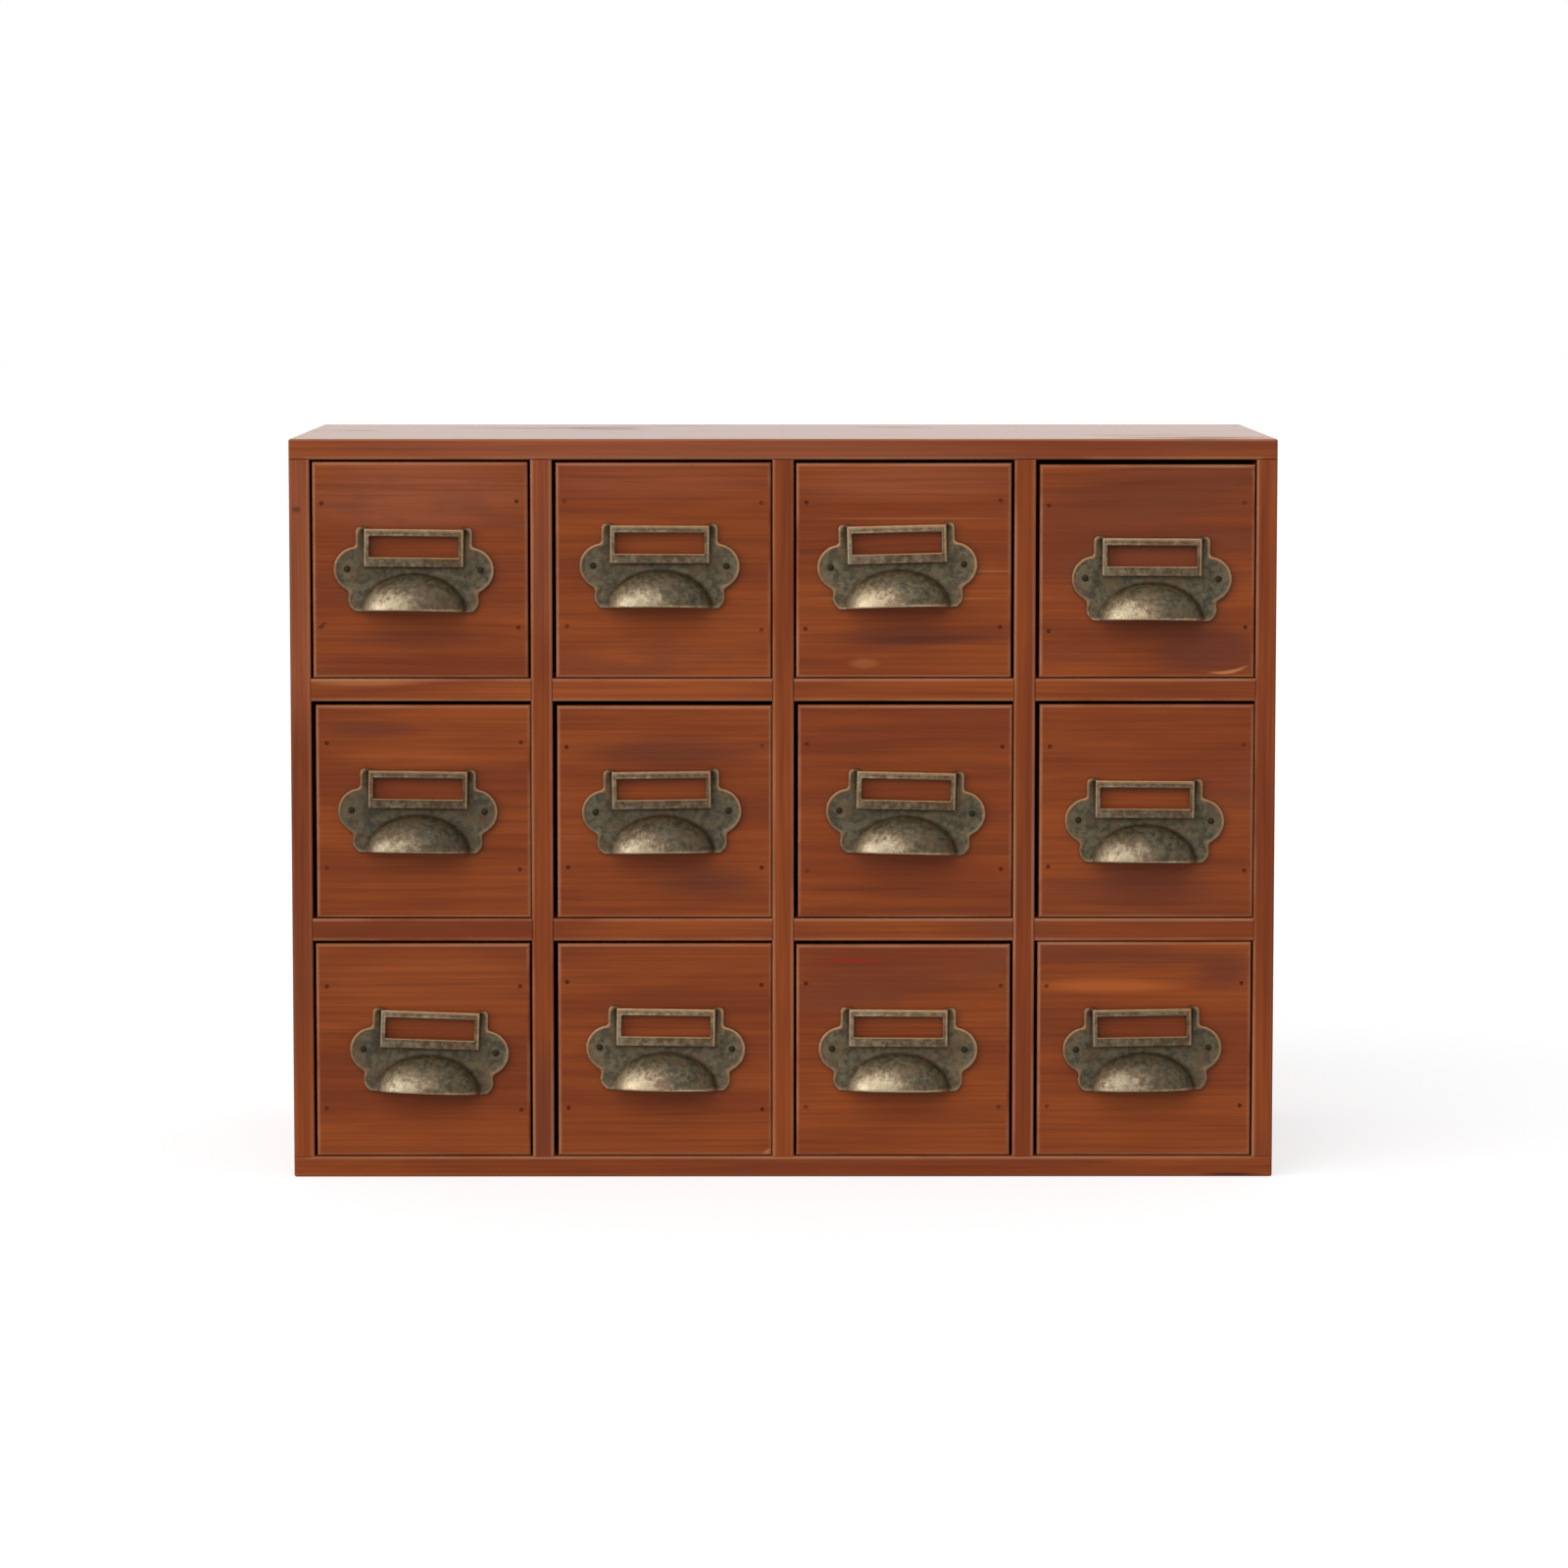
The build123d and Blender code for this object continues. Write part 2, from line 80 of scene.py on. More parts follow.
# --- Camera, lights and surroundings ----------------------------------------------------------------
CAMERA_PLACE = (-0.0058, -2.3584, 0.3808)
CAMERA_PITCH = -5.53  # degrees, downwards
CAMERA_YAW = -0.155
CAMERA_LENS = 128.6  # mm on a 36 mm sensor
FLOOR_SIZE = 30.0
FLOOR_DROP = 0.2 * MM  # below the case's underside, so that the two don't lie in one plane
FLOOR_ALBEDO = 0.5
FLOOR_GLOW = 0.62  # added for camera and reflections alone, which brings the lit floor to white
FLOOR_ROUGHNESS = 0.9
FLOOR_GLOSS = 0.1
WHITE = (1.0, 1.0, 1.0, 1.0)
SKY_LIGHT = 0.5  # what the surroundings give the object
# Lamps as soft suns: where each one stands, how wide it looks in degrees, and its strength
KEY_FROM = (-0.88, -0.45, 0.16)
KEY_WIDTH = 30.0
KEY_STRENGTH = 1.3
TOP_FROM = (-0.2, -0.72, 0.66)
TOP_WIDTH = 55.0
TOP_STRENGTH = 1.35


def srgb(red, green, blue):
    """A colour of 0 to 255 a channel as Blender's linear one."""
    channels = [value / 255 for value in (red, green, blue)]
    linear = [c / 12.92 if c <= 0.04045 else ((c + 0.055) / 1.055) ** 2.4 for c in channels]
    return (*linear, 1.0)


# --- Node trees -------------------------------------------------------------------------------------
class Noise(NamedTuple):
    """Fractal noise: its cycles per millimetre along each axis, its octaves and how strong they are."""

    scale: tuple
    detail: float = 3.0
    roughness: float = 0.55


class Tree:
    """A node tree, with one short call for each kind of node that is used here."""

    def __init__(self, owner):
        owner.use_nodes = True
        self.tree = owner.node_tree
        self.tree.nodes.clear()

    def add(self, kind, inputs=(), **settings):
        """A node with its settings, its inputs set or linked by name or number."""
        node = self.tree.nodes.new("ShaderNode" + kind)
        for name, value in settings.items():
            setattr(node, name, value)
        for key, value in dict(inputs).items():
            if isinstance(value, bpy.types.NodeSocket):
                self.tree.links.new(value, node.inputs[key])
            else:
                node.inputs[key].default_value = value
        return node

    def math(self, operation, *values):
        return self.add("Math", enumerate(values), operation=operation).outputs[0]

    def vector(self, operation, *values):
        return self.add("VectorMath", enumerate(values), operation=operation).outputs["Vector"]

    def split(self, vector):
        return self.add("SeparateXYZ", {0: vector}).outputs[:]

    def join(self, x, y, z):
        return self.add("CombineXYZ", {0: x, 1: y, 2: z}).outputs[0]

    def step(self, value, start, end):
        """0 at start rising smoothly to 1 at end; start may be the larger of the two."""
        inputs = {"Value": value, "From Min": start, "From Max": end}
        return self.add("MapRange", inputs, interpolation_type="SMOOTHSTEP").outputs["Result"]

    def ramp(self, value, low, high):
        """low where the value is 0, and high where it is 1."""
        return self.math("MULTIPLY_ADD", value, high - low, low)

    def length(self, vector):
        return self.add("VectorMath", {0: vector}, operation="LENGTH").outputs["Value"]

    def scale(self, vector, factor):
        return self.add("VectorMath", {0: vector, "Scale": factor}, operation="SCALE").outputs["Vector"]

    def noise(self, place, kind):
        """A noise of 0 to 1."""
        inputs = {"Vector": self.vector("MULTIPLY", place, kind.scale), "Scale": 1.0}
        inputs |= {"Detail": kind.detail, "Roughness": kind.roughness}
        return self.add("TexNoise", inputs).outputs["Fac"]

    def mix(self, factor, low, high):
        """A colour from low, where the factor is 0, to high, where it is 1. A mix node keeps its sockets
        for colours at these numbers, after those for plain values."""
        return self.add("Mix", {0: factor, 6: low, 7: high}, data_type="RGBA").outputs[2]

    def tint(self, colour, other, mask, share):
        """The colour turned towards another by that share of the mask."""
        return self.mix(self.math("MULTIPLY", mask, share), colour, other)

    def place(self):
        """The point on the object in its own coordinates, in millimetres. Those of a node are the shared
        frame's."""
        return self.scale(self.add("TexCoord").outputs["Object"], 1 / MM)

    def bump(self, height, distance):
        """The surface's normal with a height of 0 to 1 that stands for that many millimetres."""
        return self.add("Bump", {"Height": height, "Distance": distance * MM}).outputs["Normal"]

    def surface(self, inputs):
        shader = self.add("BsdfPrincipled", inputs)
        self.add("OutputMaterial", {"Surface": shader.outputs[0]})


def new_material(name):
    """An empty material and its tree."""
    material = bpy.data.materials.new(name)
    return material, Tree(material)


def dress(piece, material):
    """Gives a piece one material all over."""
    piece.data.materials.clear()
    piece.data.materials.append(material)


# --- Wood -------------------------------------------------------------------------------------------
STAIN_LIGHT = srgb(145, 70, 27)
STAIN_MID = srgb(123, 55, 23)
STAIN_DARK = srgb(90, 38, 15)
STAIN_DUSTY = srgb(112, 58, 36)
# pale edges: wear, and a painted highlight along the rounded arris
STAIN_WORN_AND_HIGHLIT = srgb(170, 116, 84)
RAW_LIGHT = srgb(220, 180, 138)
RAW_DARK = srgb(190, 143, 102)
RAW_GREY = srgb(176, 152, 130)
TURNED = {"x": (0, 1, 2), "y": (1, 0, 2), "z": (2, 1, 0)}  # puts the grain's axis first
RING_SPACING = 3.2  # mm between growth rings
RING_WARP = 16.0  # mm that the rings wander
PITH_DISTANCE = (40, 150)  # mm from a board's middle to the middle of its tree, least and most
TIMBER_SPREAD = 900  # mm by which the boards' noises are set apart, at most
FAR = 1000.0  # mm, farther than any edge
WORN_AND_HIGHLIT_EDGE = (2.1, 1.0)  # mm from an edge where wear and painted arris highlight begin, and where they are full
EDGE_RAGGED = 0.8  # mm by which the fibres move both, at most
HANDLED_INSET = (3.0, 8.5)  # mm inside the case's outline over which hands begin to reach
OUTSIDE_WEAR = 0.25  # share of the drawers' wear that the outside of the case shows

# Noises of the wood, along the grain and across it
WARP = Noise((0.004, 0.016, 0.016), 2.5)
RING_FADE = Noise((0.006, 0.08, 0.08))
BANDS = Noise((0.007, 0.055, 0.055), 3, 0.6)
STREAKS = Noise((0.008, 0.7, 0.7), 4, 0.65)
FIBRES = Noise((0.02, 1.3, 1.3), 3, 0.6)
BLOTCHES = Noise((0.012, 0.034, 0.034), 4, 0.6)
RAW_STREAKS = Noise((0.008, 0.25, 0.25), 4)
RAW_FIBRES = Noise((0.05, 1.6, 1.6), 3, 0.6)
RAW_CLOUDS = Noise((0.01, 0.02, 0.02))
# Where each of them begins to show, and where it shows in full
RING_RISE = (0.35, 0.85)  # of the way from one growth ring to the next
RING_DROP = (1.0, 0.9)
RINGS_CLEAR = (0.4, 0.7)
LIGHT_BANDS = (0.36, 0.64)
DARK_STREAKS = (0.6, 0.34)
DARK_FIBRES = (0.6, 0.36)
WORN_BLOTCHES = (0.25, 0.6)
RAW_DARK_STREAKS = (0.25, 0.75)
RAW_GREY_CLOUDS = (0.4, 0.8)
# How much of its colour each then gives the wood
STREAK_SHARE = 0.34
LATE_WOOD_SHARE = 0.32
FIBRE_SHARE = 0.13
DUST_SHARE = 0.6
WORN_AND_HIGHLIT_SHARE = 0.6
RAW_SHARE = 0.6

GRAIN_DEPTH = 0.12  # mm
RAW_GRAIN_DEPTH = 0.15
FIBRE_HEIGHT = 0.5  # share of the grain's depth by which fibres stand out
RAW_FIBRE_HEIGHT = 0.6
LATE_WOOD_SINK = 0.3  # and by which late wood lies back
CLEAN_ROUGHNESS = 0.36
DUSTY_ROUGHNESS = 0.54
RAW_ROUGHNESS = 0.72
TOP_POLISH = 0.14  # roughness that the top board's upper face lacks
TOP_FACE = (0.6, 0.2)  # mm below that face where the polish begins, and where it is full

# How dull and purplish each drawer's front has gone, row by row from the top left
FRONT_DUST = (0.7, 0.55, 0.35, 0.8, 0.5, 0.45, 0.3, 0.45, 0.4, 0.3, 0.6, 0.5)
CASE_DUST = 0.5
DUST_START, DUST_FULL = 0.72, 0.88  # blotches that hold dust on a clean board
DUST_REACH = 0.3  # how far a dusty board lowers both
CASE_GLOSS = 0.15
TOP_GLOSS = 0.21  # the top board keeps more of its varnish

PALE_WOOD = srgb(178, 112, 66)
ORANGE = srgb(170, 88, 38)
RED = srgb(142, 36, 24)
DULL = srgb(104, 50, 31)
# a paler, greyer tone given to the upper parts of the case
PALE_UPPER_TONE = srgb(152, 82, 50)
# dark knots and scratches, and a painted shadow at the foot of the case
DARK = srgb(52, 24, 16)


class Mark(NamedTuple):
    """A knot, streak, stain, scratch, painted shadow, painted highlight or larger zone of a board, as a soft
    ellipse seen from the front, in millimetres of the shared frame."""

    node: str
    x: float
    z: float
    half_length: float
    half_height: float
    colour: tuple
    strength: float
    lean: float = 0.0  # degrees, right end up
    bend: float = 0.0  # the ends are this much higher than the middle


MARK_RAGGED = 1.2  # how far a noise moves a mark's outline, in shares of its size
MARK_EDGE = (1.1, 0.3)  # where a mark begins, and where it is full
MARKS = [
    Mark("drawer_10_front", -6.6, 10.2, 2.6, 1.2, PALE_WOOD, 0.8, lean=35.0),
    Mark("drawer_04_front", 181.0, 207.0, 9.0, 0.9, PALE_WOOD, 1.0, lean=10.0, bend=1.6),
    Mark("drawer_03_front", 33.0, 210.4, 6.5, 2.4, PALE_WOOD, 0.35),
    Mark("drawer_03_front", 49.0, 236.9, 48.0, 0.6, PALE_WOOD, 0.5),
    Mark("drawer_03_front", 49.0, 269.3, 46.0, 0.6, PALE_WOOD, 0.35),
    Mark("drawer_03_front", 84.0, 248.0, 14.0, 0.6, PALE_WOOD, 0.4),
    Mark("drawer_03_front", 55.0, 220.5, 38.0, 2.2, DARK, 0.35),
    Mark("drawer_11_front", 28.0, 89.0, 15.0, 1.1, RED, 0.75),
    Mark("drawer_12_front", 132.0, 78.5, 36.0, 3.4, ORANGE, 0.85),
    # painted highlight along the upper front arris of the shelf
    Mark("shelf_1", -168.0, 203.0, 27.0, 2.4, PALE_WOOD, 0.55),
    # painted shadow: the dark strip where the case's right end meets the floor
    Mark("case_bottom", 184.0, 1.0, 18.0, 0.9, DARK, 0.9),
    Mark("drawer_01_front", -187.0, 226.0, 3.4, 0.7, DARK, 0.8, lean=35.0),
    Mark("case_left_side", -197.0, 273.0, 2.2, 1.6, DARK, 0.6),
]
# Where a board's wood is lighter, oranger or duller than elsewhere, under its grain. The first is the top
# board's upper face, made paler: a painted reflection of the light it catches at a grazing view.
ZONES = [
    # painted reflection on the top board's upper face
    Mark("case_top", 0.0, 301.5, 700.0, 0.8, PALE_WOOD, 0.8),
    Mark("case_top", -50.0, 296.5, 150.0, 9.0, PALE_UPPER_TONE, 0.7),
    Mark("case_left_side", -197.0, 250.0, 30.0, 70.0, PALE_UPPER_TONE, 0.9),
    Mark("case_left_side", -197.0, 90.0, 30.0, 90.0, DULL, 0.55),
    Mark("divider_1", -98.0, 268.0, 16.0, 50.0, PALE_UPPER_TONE, 0.6),
    Mark("divider_1", -98.0, 25.0, 16.0, 40.0, DULL, 0.7),
    Mark("shelf_1", -70.0, 200.0, 80.0, 8.0, ORANGE, 0.6),
    Mark("shelf_2", -40.0, 101.0, 50.0, 8.0, ORANGE, 0.45),
    Mark("drawer_01_front", -148.0, 282.0, 56.0, 20.0, PALE_UPPER_TONE, 0.9),
    Mark("drawer_01_front", -148.0, 221.0, 50.0, 6.0, DULL, 0.5),
    Mark("drawer_02_front", -50.0, 284.0, 52.0, 9.0, PALE_UPPER_TONE, 0.5),
    Mark("drawer_02_front", -50.0, 214.0, 45.0, 9.0, ORANGE, 0.4),
    Mark("drawer_03_front", 49.0, 284.0, 52.0, 9.0, PALE_UPPER_TONE, 0.7),
    Mark("drawer_03_front", 49.0, 221.0, 50.0, 6.0, DULL, 0.6),
    Mark("drawer_04_front", 148.0, 280.0, 60.0, 22.0, DULL, 0.7),
    Mark("drawer_04_front", 172.0, 217.0, 26.0, 14.0, DULL, 0.9),
    Mark("drawer_05_front", -165.0, 184.0, 28.0, 5.0, DULL, 0.7),
    Mark("drawer_05_front", -150.0, 172.0, 36.0, 5.0, ORANGE, 0.5),
    Mark("drawer_06_front", -48.0, 175.0, 50.0, 8.0, DULL, 0.8),
    Mark("drawer_06_front", -28.0, 121.0, 34.0, 9.0, DULL, 0.9),
    Mark("drawer_08_front", 147.0, 118.0, 56.0, 14.0, DULL, 0.8),
    Mark("drawer_09_front", -148.0, 80.0, 54.0, 14.0, ORANGE, 0.5),
    Mark("drawer_11_front", 40.0, 84.0, 38.0, 8.0, DULL, 0.4),
    Mark("drawer_12_front", 150.0, 90.0, 50.0, 6.0, DULL, 0.6),
    Mark("drawer_12_front", 180.0, 85.0, 20.0, 12.0, DULL, 0.8),
]


def from_middle(tree, place, box):
    """The place counted from the middle of a box."""
    low, high = box
    return tree.vector("SUBTRACT", place, tuple((low + high) / 2 / MM))


def box_inset(tree, place, box):
    """How far a point is inside a box along each axis, in millimetres."""
    low, high = box
    away = tree.vector("ABSOLUTE", from_middle(tree, place, box))
    return tree.split(tree.vector("SUBTRACT", tuple((high - low) / 2 / MM), away))


def grain_place(tree, place, board, along):
    """The place with the grain along the first axis, counted from the board's middle."""
    coordinates = tree.split(from_middle(tree, place, board))
    return tree.join(*[coordinates[axis] for axis in TURNED[along]])


def growth_rings(tree, grain, timber, rng):
    """Late wood of 0 to 1: rings round a pith that lies well outside the board."""
    warp = tree.noise(timber, WARP)
    angle = rng.uniform(0, 2 * math.pi)
    distance = rng.uniform(*PITH_DISTANCE)
    pith = (0, distance * math.cos(angle), distance * math.sin(angle))
    outward = tree.vector("MULTIPLY", tree.vector("SUBTRACT", grain, pith), (0.0, 1.0, 1.0))
    radius = tree.math("ADD", tree.length(outward), tree.math("MULTIPLY", warp, RING_WARP))
    ring = tree.math("FRACT", tree.math("DIVIDE", radius, RING_SPACING))
    late = tree.math("MULTIPLY", tree.step(ring, *RING_RISE), tree.step(ring, *RING_DROP))
    return tree.math("MULTIPLY", late, tree.step(tree.noise(timber, RING_FADE), *RINGS_CLEAR))


def edge_distance(tree, place, board, open_ended):
    """How far a point on a board's surface is from the board's nearest edge, in millimetres. The edges at
    both ends of the open_ended axis don't count."""
    inset = box_inset(tree, place, board)
    x, y, z = [FAR if name == open_ended else inset[axis] for axis, name in enumerate("xyz")]
    nearer, farther = tree.math("MINIMUM", x, y), tree.math("MAXIMUM", x, y)
    return tree.math("MAXIMUM", nearer, tree.math("MINIMUM", farther, z))


def handled(tree, place):
    """1 where hands reach the drawers, falling off to the least wear along the outside of the case."""
    x, _, z = box_inset(tree, place, cad_bounds)
    reached = tree.step(tree.math("MINIMUM", x, z), *HANDLED_INSET)
    return tree.math("MAXIMUM", reached, OUTSIDE_WEAR)


def mark_share(tree, mark, x, z, ragged):
    """How much of a mark shows at a point: all in its middle, fading out over its ragged outline."""
    right, up = tree.math("SUBTRACT", x, mark.x), tree.math("SUBTRACT", z, mark.z)
    cosine, sine = math.cos(math.radians(mark.lean)), math.sin(math.radians(mark.lean))
    along = tree.math("ADD", tree.math("MULTIPLY", right, cosine), tree.math("MULTIPLY", up, sine))
    across = tree.math("SUBTRACT", tree.math("MULTIPLY", up, cosine), tree.math("MULTIPLY", right, sine))
    along = tree.math("DIVIDE", along, mark.half_length)
    bow = tree.math("MULTIPLY", tree.math("POWER", along, 2.0), mark.bend)
    across = tree.math("DIVIDE", tree.math("SUBTRACT", across, bow), mark.half_height)
    uneven = tree.math("MULTIPLY", tree.math("SUBTRACT", ragged, 0.5), MARK_RAGGED)
    away = tree.math("ADD", tree.length(tree.join(along, across, 0.0)), uneven)
    return tree.step(away, *MARK_EDGE)


def marked(tree, marks, node, place, ragged, colour):
    """The wood's colour with the node's marks in it, their outlines ragged by a noise."""
    x, _, z = tree.split(place)
    for mark in marks:
        if mark.node == node:
            colour = tree.tint(colour, mark.colour, mark_share(tree, mark, x, z, ragged), mark.strength)
    return colour


def grain_height(tree, fibres, fibre_height, late):
    """The relief of the wood's surface, for its bump."""
    standing = tree.math("MULTIPLY", fibres, fibre_height)
    return tree.math("SUBTRACT", standing, tree.math("MULTIPLY", late, LATE_WOOD_SINK))


def stained_wood(node, along, dust, gloss, open_ended=None):
    """Reddish-brown stained softwood under a worn varnish, with pale edges: partly wear, partly a painted
    highlight along the rounded arris. dust of 0 to 1 is how much of the board has gone dull and purplish,
    gloss the strength of its sheen."""
    rng = np.random.default_rng(sum(ord(letter) * (i + 1) for i, letter in enumerate(node)))
    material, tree = new_material("stained_" + node)
    place, board = tree.place(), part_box(node)
    grain = grain_place(tree, place, board, along)
    timber = tree.vector("ADD", grain, tuple(rng.uniform(-TIMBER_SPREAD, TIMBER_SPREAD, 3)))
    bands = tree.noise(timber, BANDS)
    streaks = tree.noise(timber, STREAKS)
    fibres = tree.noise(timber, FIBRES)
    late = growth_rings(tree, grain, timber, rng)
    blotches = tree.noise(timber, BLOTCHES)
    edge = edge_distance(tree, place, board, open_ended)
    edge = tree.math("ADD", edge, tree.math("MULTIPLY", fibres, EDGE_RAGGED))
    # the pale edge line: wear, and a painted highlight along the rounded arris
    brightened = tree.math("MULTIPLY", tree.step(edge, *WORN_AND_HIGHLIT_EDGE), tree.step(blotches, *WORN_BLOTCHES))
    brightened = tree.math("MULTIPLY", brightened, handled(tree, place))
    dusty = tree.step(blotches, DUST_START - DUST_REACH * dust, DUST_FULL - DUST_REACH * dust)

    colour = tree.mix(tree.step(bands, *LIGHT_BANDS), STAIN_MID, STAIN_LIGHT)
    colour = marked(tree, ZONES, node, place, bands, colour)
    colour = tree.tint(colour, STAIN_DARK, tree.step(streaks, *DARK_STREAKS), STREAK_SHARE)
    colour = tree.tint(colour, STAIN_DARK, late, LATE_WOOD_SHARE)
    colour = tree.tint(colour, STAIN_DARK, tree.step(fibres, *DARK_FIBRES), FIBRE_SHARE)
    colour = tree.tint(colour, STAIN_DUSTY, dusty, DUST_SHARE)
    colour = marked(tree, MARKS, node, place, streaks, colour)
    colour = tree.tint(colour, STAIN_WORN_AND_HIGHLIT, brightened, WORN_AND_HIGHLIT_SHARE)

    height = grain_height(tree, fibres, FIBRE_HEIGHT, late)
    roughness = tree.ramp(dusty, CLEAN_ROUGHNESS, DUSTY_ROUGHNESS)
    if node == "case_top":
        upper = tree.step(tree.split(place)[2], *[board[1].z / MM - depth for depth in TOP_FACE])
        roughness = tree.math("SUBTRACT", roughness, tree.math("MULTIPLY", upper, TOP_POLISH))
    tree.surface(
        {
            "Base Color": colour,
            "Roughness": roughness,
            "Specular IOR Level": gloss,
            "Normal": tree.bump(height, GRAIN_DEPTH),
        }
    )
    return material


def raw_wood(name):
    """Bare planed softwood, gone a little grey, for the drawer boxes and the back panel. Its grain runs
    along Y, and along X on the boards that face the front or the rear."""
    rng = np.random.default_rng(len(name))
    material, tree = new_material(name)
    x, y, z = tree.split(tree.place())
    facing = tree.split(tree.add("TexCoord").outputs["Normal"])[1]
    across = tree.math("GREATER_THAN", tree.math("ABSOLUTE", facing), 0.5)
    along = tree.math("ADD", y, tree.math("MULTIPLY", across, tree.math("SUBTRACT", x, y)))
    grain = tree.join(along, tree.math("SUBTRACT", tree.math("ADD", x, y), along), z)
    timber = tree.vector("ADD", grain, tuple(rng.uniform(-TIMBER_SPREAD, TIMBER_SPREAD, 3)))
    streaks = tree.noise(timber, RAW_STREAKS)
    fibres = tree.noise(timber, RAW_FIBRES)
    late = growth_rings(tree, grain, timber, rng)
    grey = tree.step(tree.noise(timber, RAW_CLOUDS), *RAW_GREY_CLOUDS)
    colour = tree.mix(tree.step(streaks, *RAW_DARK_STREAKS), RAW_LIGHT, RAW_DARK)
    colour = tree.tint(colour, RAW_DARK, late, RAW_SHARE)
    colour = tree.tint(colour, RAW_GREY, grey, RAW_SHARE)
    bump = tree.bump(grain_height(tree, fibres, RAW_FIBRE_HEIGHT, late), RAW_GRAIN_DEPTH)
    tree.surface({"Base Color": colour, "Roughness": RAW_ROUGHNESS, "Normal": bump})
    return material


# --- Brass pull -------------------------------------------------------------------------------------
# In its own frame, in millimetres: x to the right, z up from the pin line, and height off the wood.
PULL_HALF_WIDTH = 23.6  # plate beside the frame
PULL_TOP = 16.4  # of the label frame
EAR_TOP = 17.2
PULL_FOOT = -17.4  # lower edge of the plate and mouth of the cup
LOBE_MIDDLE = (23.2, -0.2)
LOBE_RADIUS = 9.3
FOOT_MIDDLE = (21.6, -12.6)
FOOT_RADIUS = 4.9
HEAD_CORNER = 2.2  # rounding of the plate's upper corners
FOOT_BLEND = 3.0  # rounding between a lobe and its foot
SIDE_BLEND = 1.6  # and between the lobes and the head
PLATE_THICKNESS = 1.3
PLATE_EDGE = 0.5  # rounding of the plate's edge
RIM_WIDTH = 1.6
RIM_FLAT = 0.5  # the outer part of the rim that is level
RIM_HEIGHT = 0.4
FRAME_HALF_WIDTH = 20.1
FRAME_FOOT = 1.0
FRAME_STAND = 3.1
FRAME_EDGE = 0.6  # rounding of the frame's edges
FRAME_FILLET = 0.3
DISH_DEPTH = 0.3  # how deep the bars of the frame are dished
DISH_INSET = 0.5  # the bars' edges are level up to here
DISH_SLOPE = 0.4
WINDOW_HALF_WIDTH = 18.1
WINDOW_SPAN = (5.0, 13.3)
SLOT_HALF_WIDTH = 19.0
SLOT_FOOT = 1.8
SLOT_DEPTH = 1.5
CUP_AXES = (20.9, 13.5, 15.5)  # half width, reach and height
CUP_WALL = 1.3
CUP_FILLET = 1.6
MOUTH_LEAN = 1.4 / 13.5  # the lip rises this much towards its middle
LIP_EDGE = 0.3  # rounding of the lip
GRID_LOW = (-33.6, -0.6, -18.3)
GRID_HIGH = (33.6, 14.4, 17.6)
GRID_STEP = (0.36, 0.3, 0.36)
PULL_FACES_KEPT = 0.35  # share left after thinning out the flat parts
LEVEL = 0.01  # points that are no farther apart in height are level

# Wear and painted highlights of 0 to 1, with their places and widths in the pull's own frame
RIM_BAND = 1.3 * RIM_WIDTH  # reached by the rim's wear
RIM_WEAR = 0.7
RIM_WEAR_RISE = 0.25  # more in the upper part of the plate, and less in its lower part
RIM_WEAR_SPAN = 6.0  # above and below the pin line, up to where it has risen or fallen in full
EAR_MIDDLE = 12.0  # the rim is least rubbed at this height
EAR_SPREAD = 2.5
EAR_SHELTER = 0.45
BAR_FRONT = 0.7  # this much behind the frame's front still belongs to its bars
LOWER_BAR_WEAR = (0.05, 0.8)  # least and most on the bar under the window
LOWER_BAR_LINE = 0.5  # its line reaches this far up beside the window
BAR_WEAR = (0.2, 0.52)  # least and most on the other bars
LINE_WEAR_AND_HIGHLIGHT = 0.9
LINE_HALF_WIDTH = 0.3
LINE_FADE = 1.2
UPRIGHT_WEAR_AND_HIGHLIGHT = (0.5, 0.3)  # of the frame's left and right upright; the left one's larger share is a painted highlight
CUP_START = 0.3  # the cup is what stands out this far from the plate
CUP_TOP = FRAME_FOOT - 1
CUP_WEAR_AND_HIGHLIGHT = (0.04, 0.95)  # least and most
LIP_WEAR = 0.95
LIP_WIDTH = 1.2
BELLY_HIGHLIGHT_MIDDLE = (-11.0, -15.5)  # where the cup is brightest: wear, and a painted highlight on its lower left
BELLY_HIGHLIGHT_SPREAD = (14.0, 12.0, 7.0)  # to the left, to the right, and up or down
FLANK_HIGHLIGHT_MIDDLE = (-16.0, -10.5)  # a weaker painted highlight on its left side
FLANK_HIGHLIGHT_SPREAD = (3.0, 4.5)
FLANK_HIGHLIGHT = 0.6  # share of the belly's

# Dirt and painted shade of 0 to 1, in the corners beside the label frame, round the cup's root and on the
# frame's bars
FRAME_DIRT_AND_SHADE_SPREAD = 2.0
FRAME_DIRT_AND_SHADE_FOOT = PLATE_THICKNESS + 0.2  # from here it thins out, over the height
FRAME_DIRT_AND_SHADE_HEIGHT = 1.5
EAR_FOOT = 10.0  # lower than this it is thinnest
EAR_DIRT_AND_SHADE_RISE = 3.0  # and it gets thicker over this much
LOW_DIRT_AND_SHADE = 0.45
CUP_DIRT_AND_SHADE_SPREAD = 1.2
CUP_DIRT_AND_SHADE_HEIGHT = 3.5
BAR_GRIME = 0.33
LOWER_BAR_GRIME = 0.5
LOWER_BAR_FOOT = 2.5  # below this the lower bar has more of it
FOOT_GRIME = 0.35

PATINA_DARK = srgb(52, 46, 31)
PATINA_GREEN = srgb(91, 83, 60)
PATINA_BROWN = srgb(98, 74, 48)
# bright brass where the cup is rubbed, which carries its painted highlight too
BRASS_RUBBED_AND_LIT = srgb(150, 135, 106)
BRASS_EDGE = srgb(156, 117, 80)
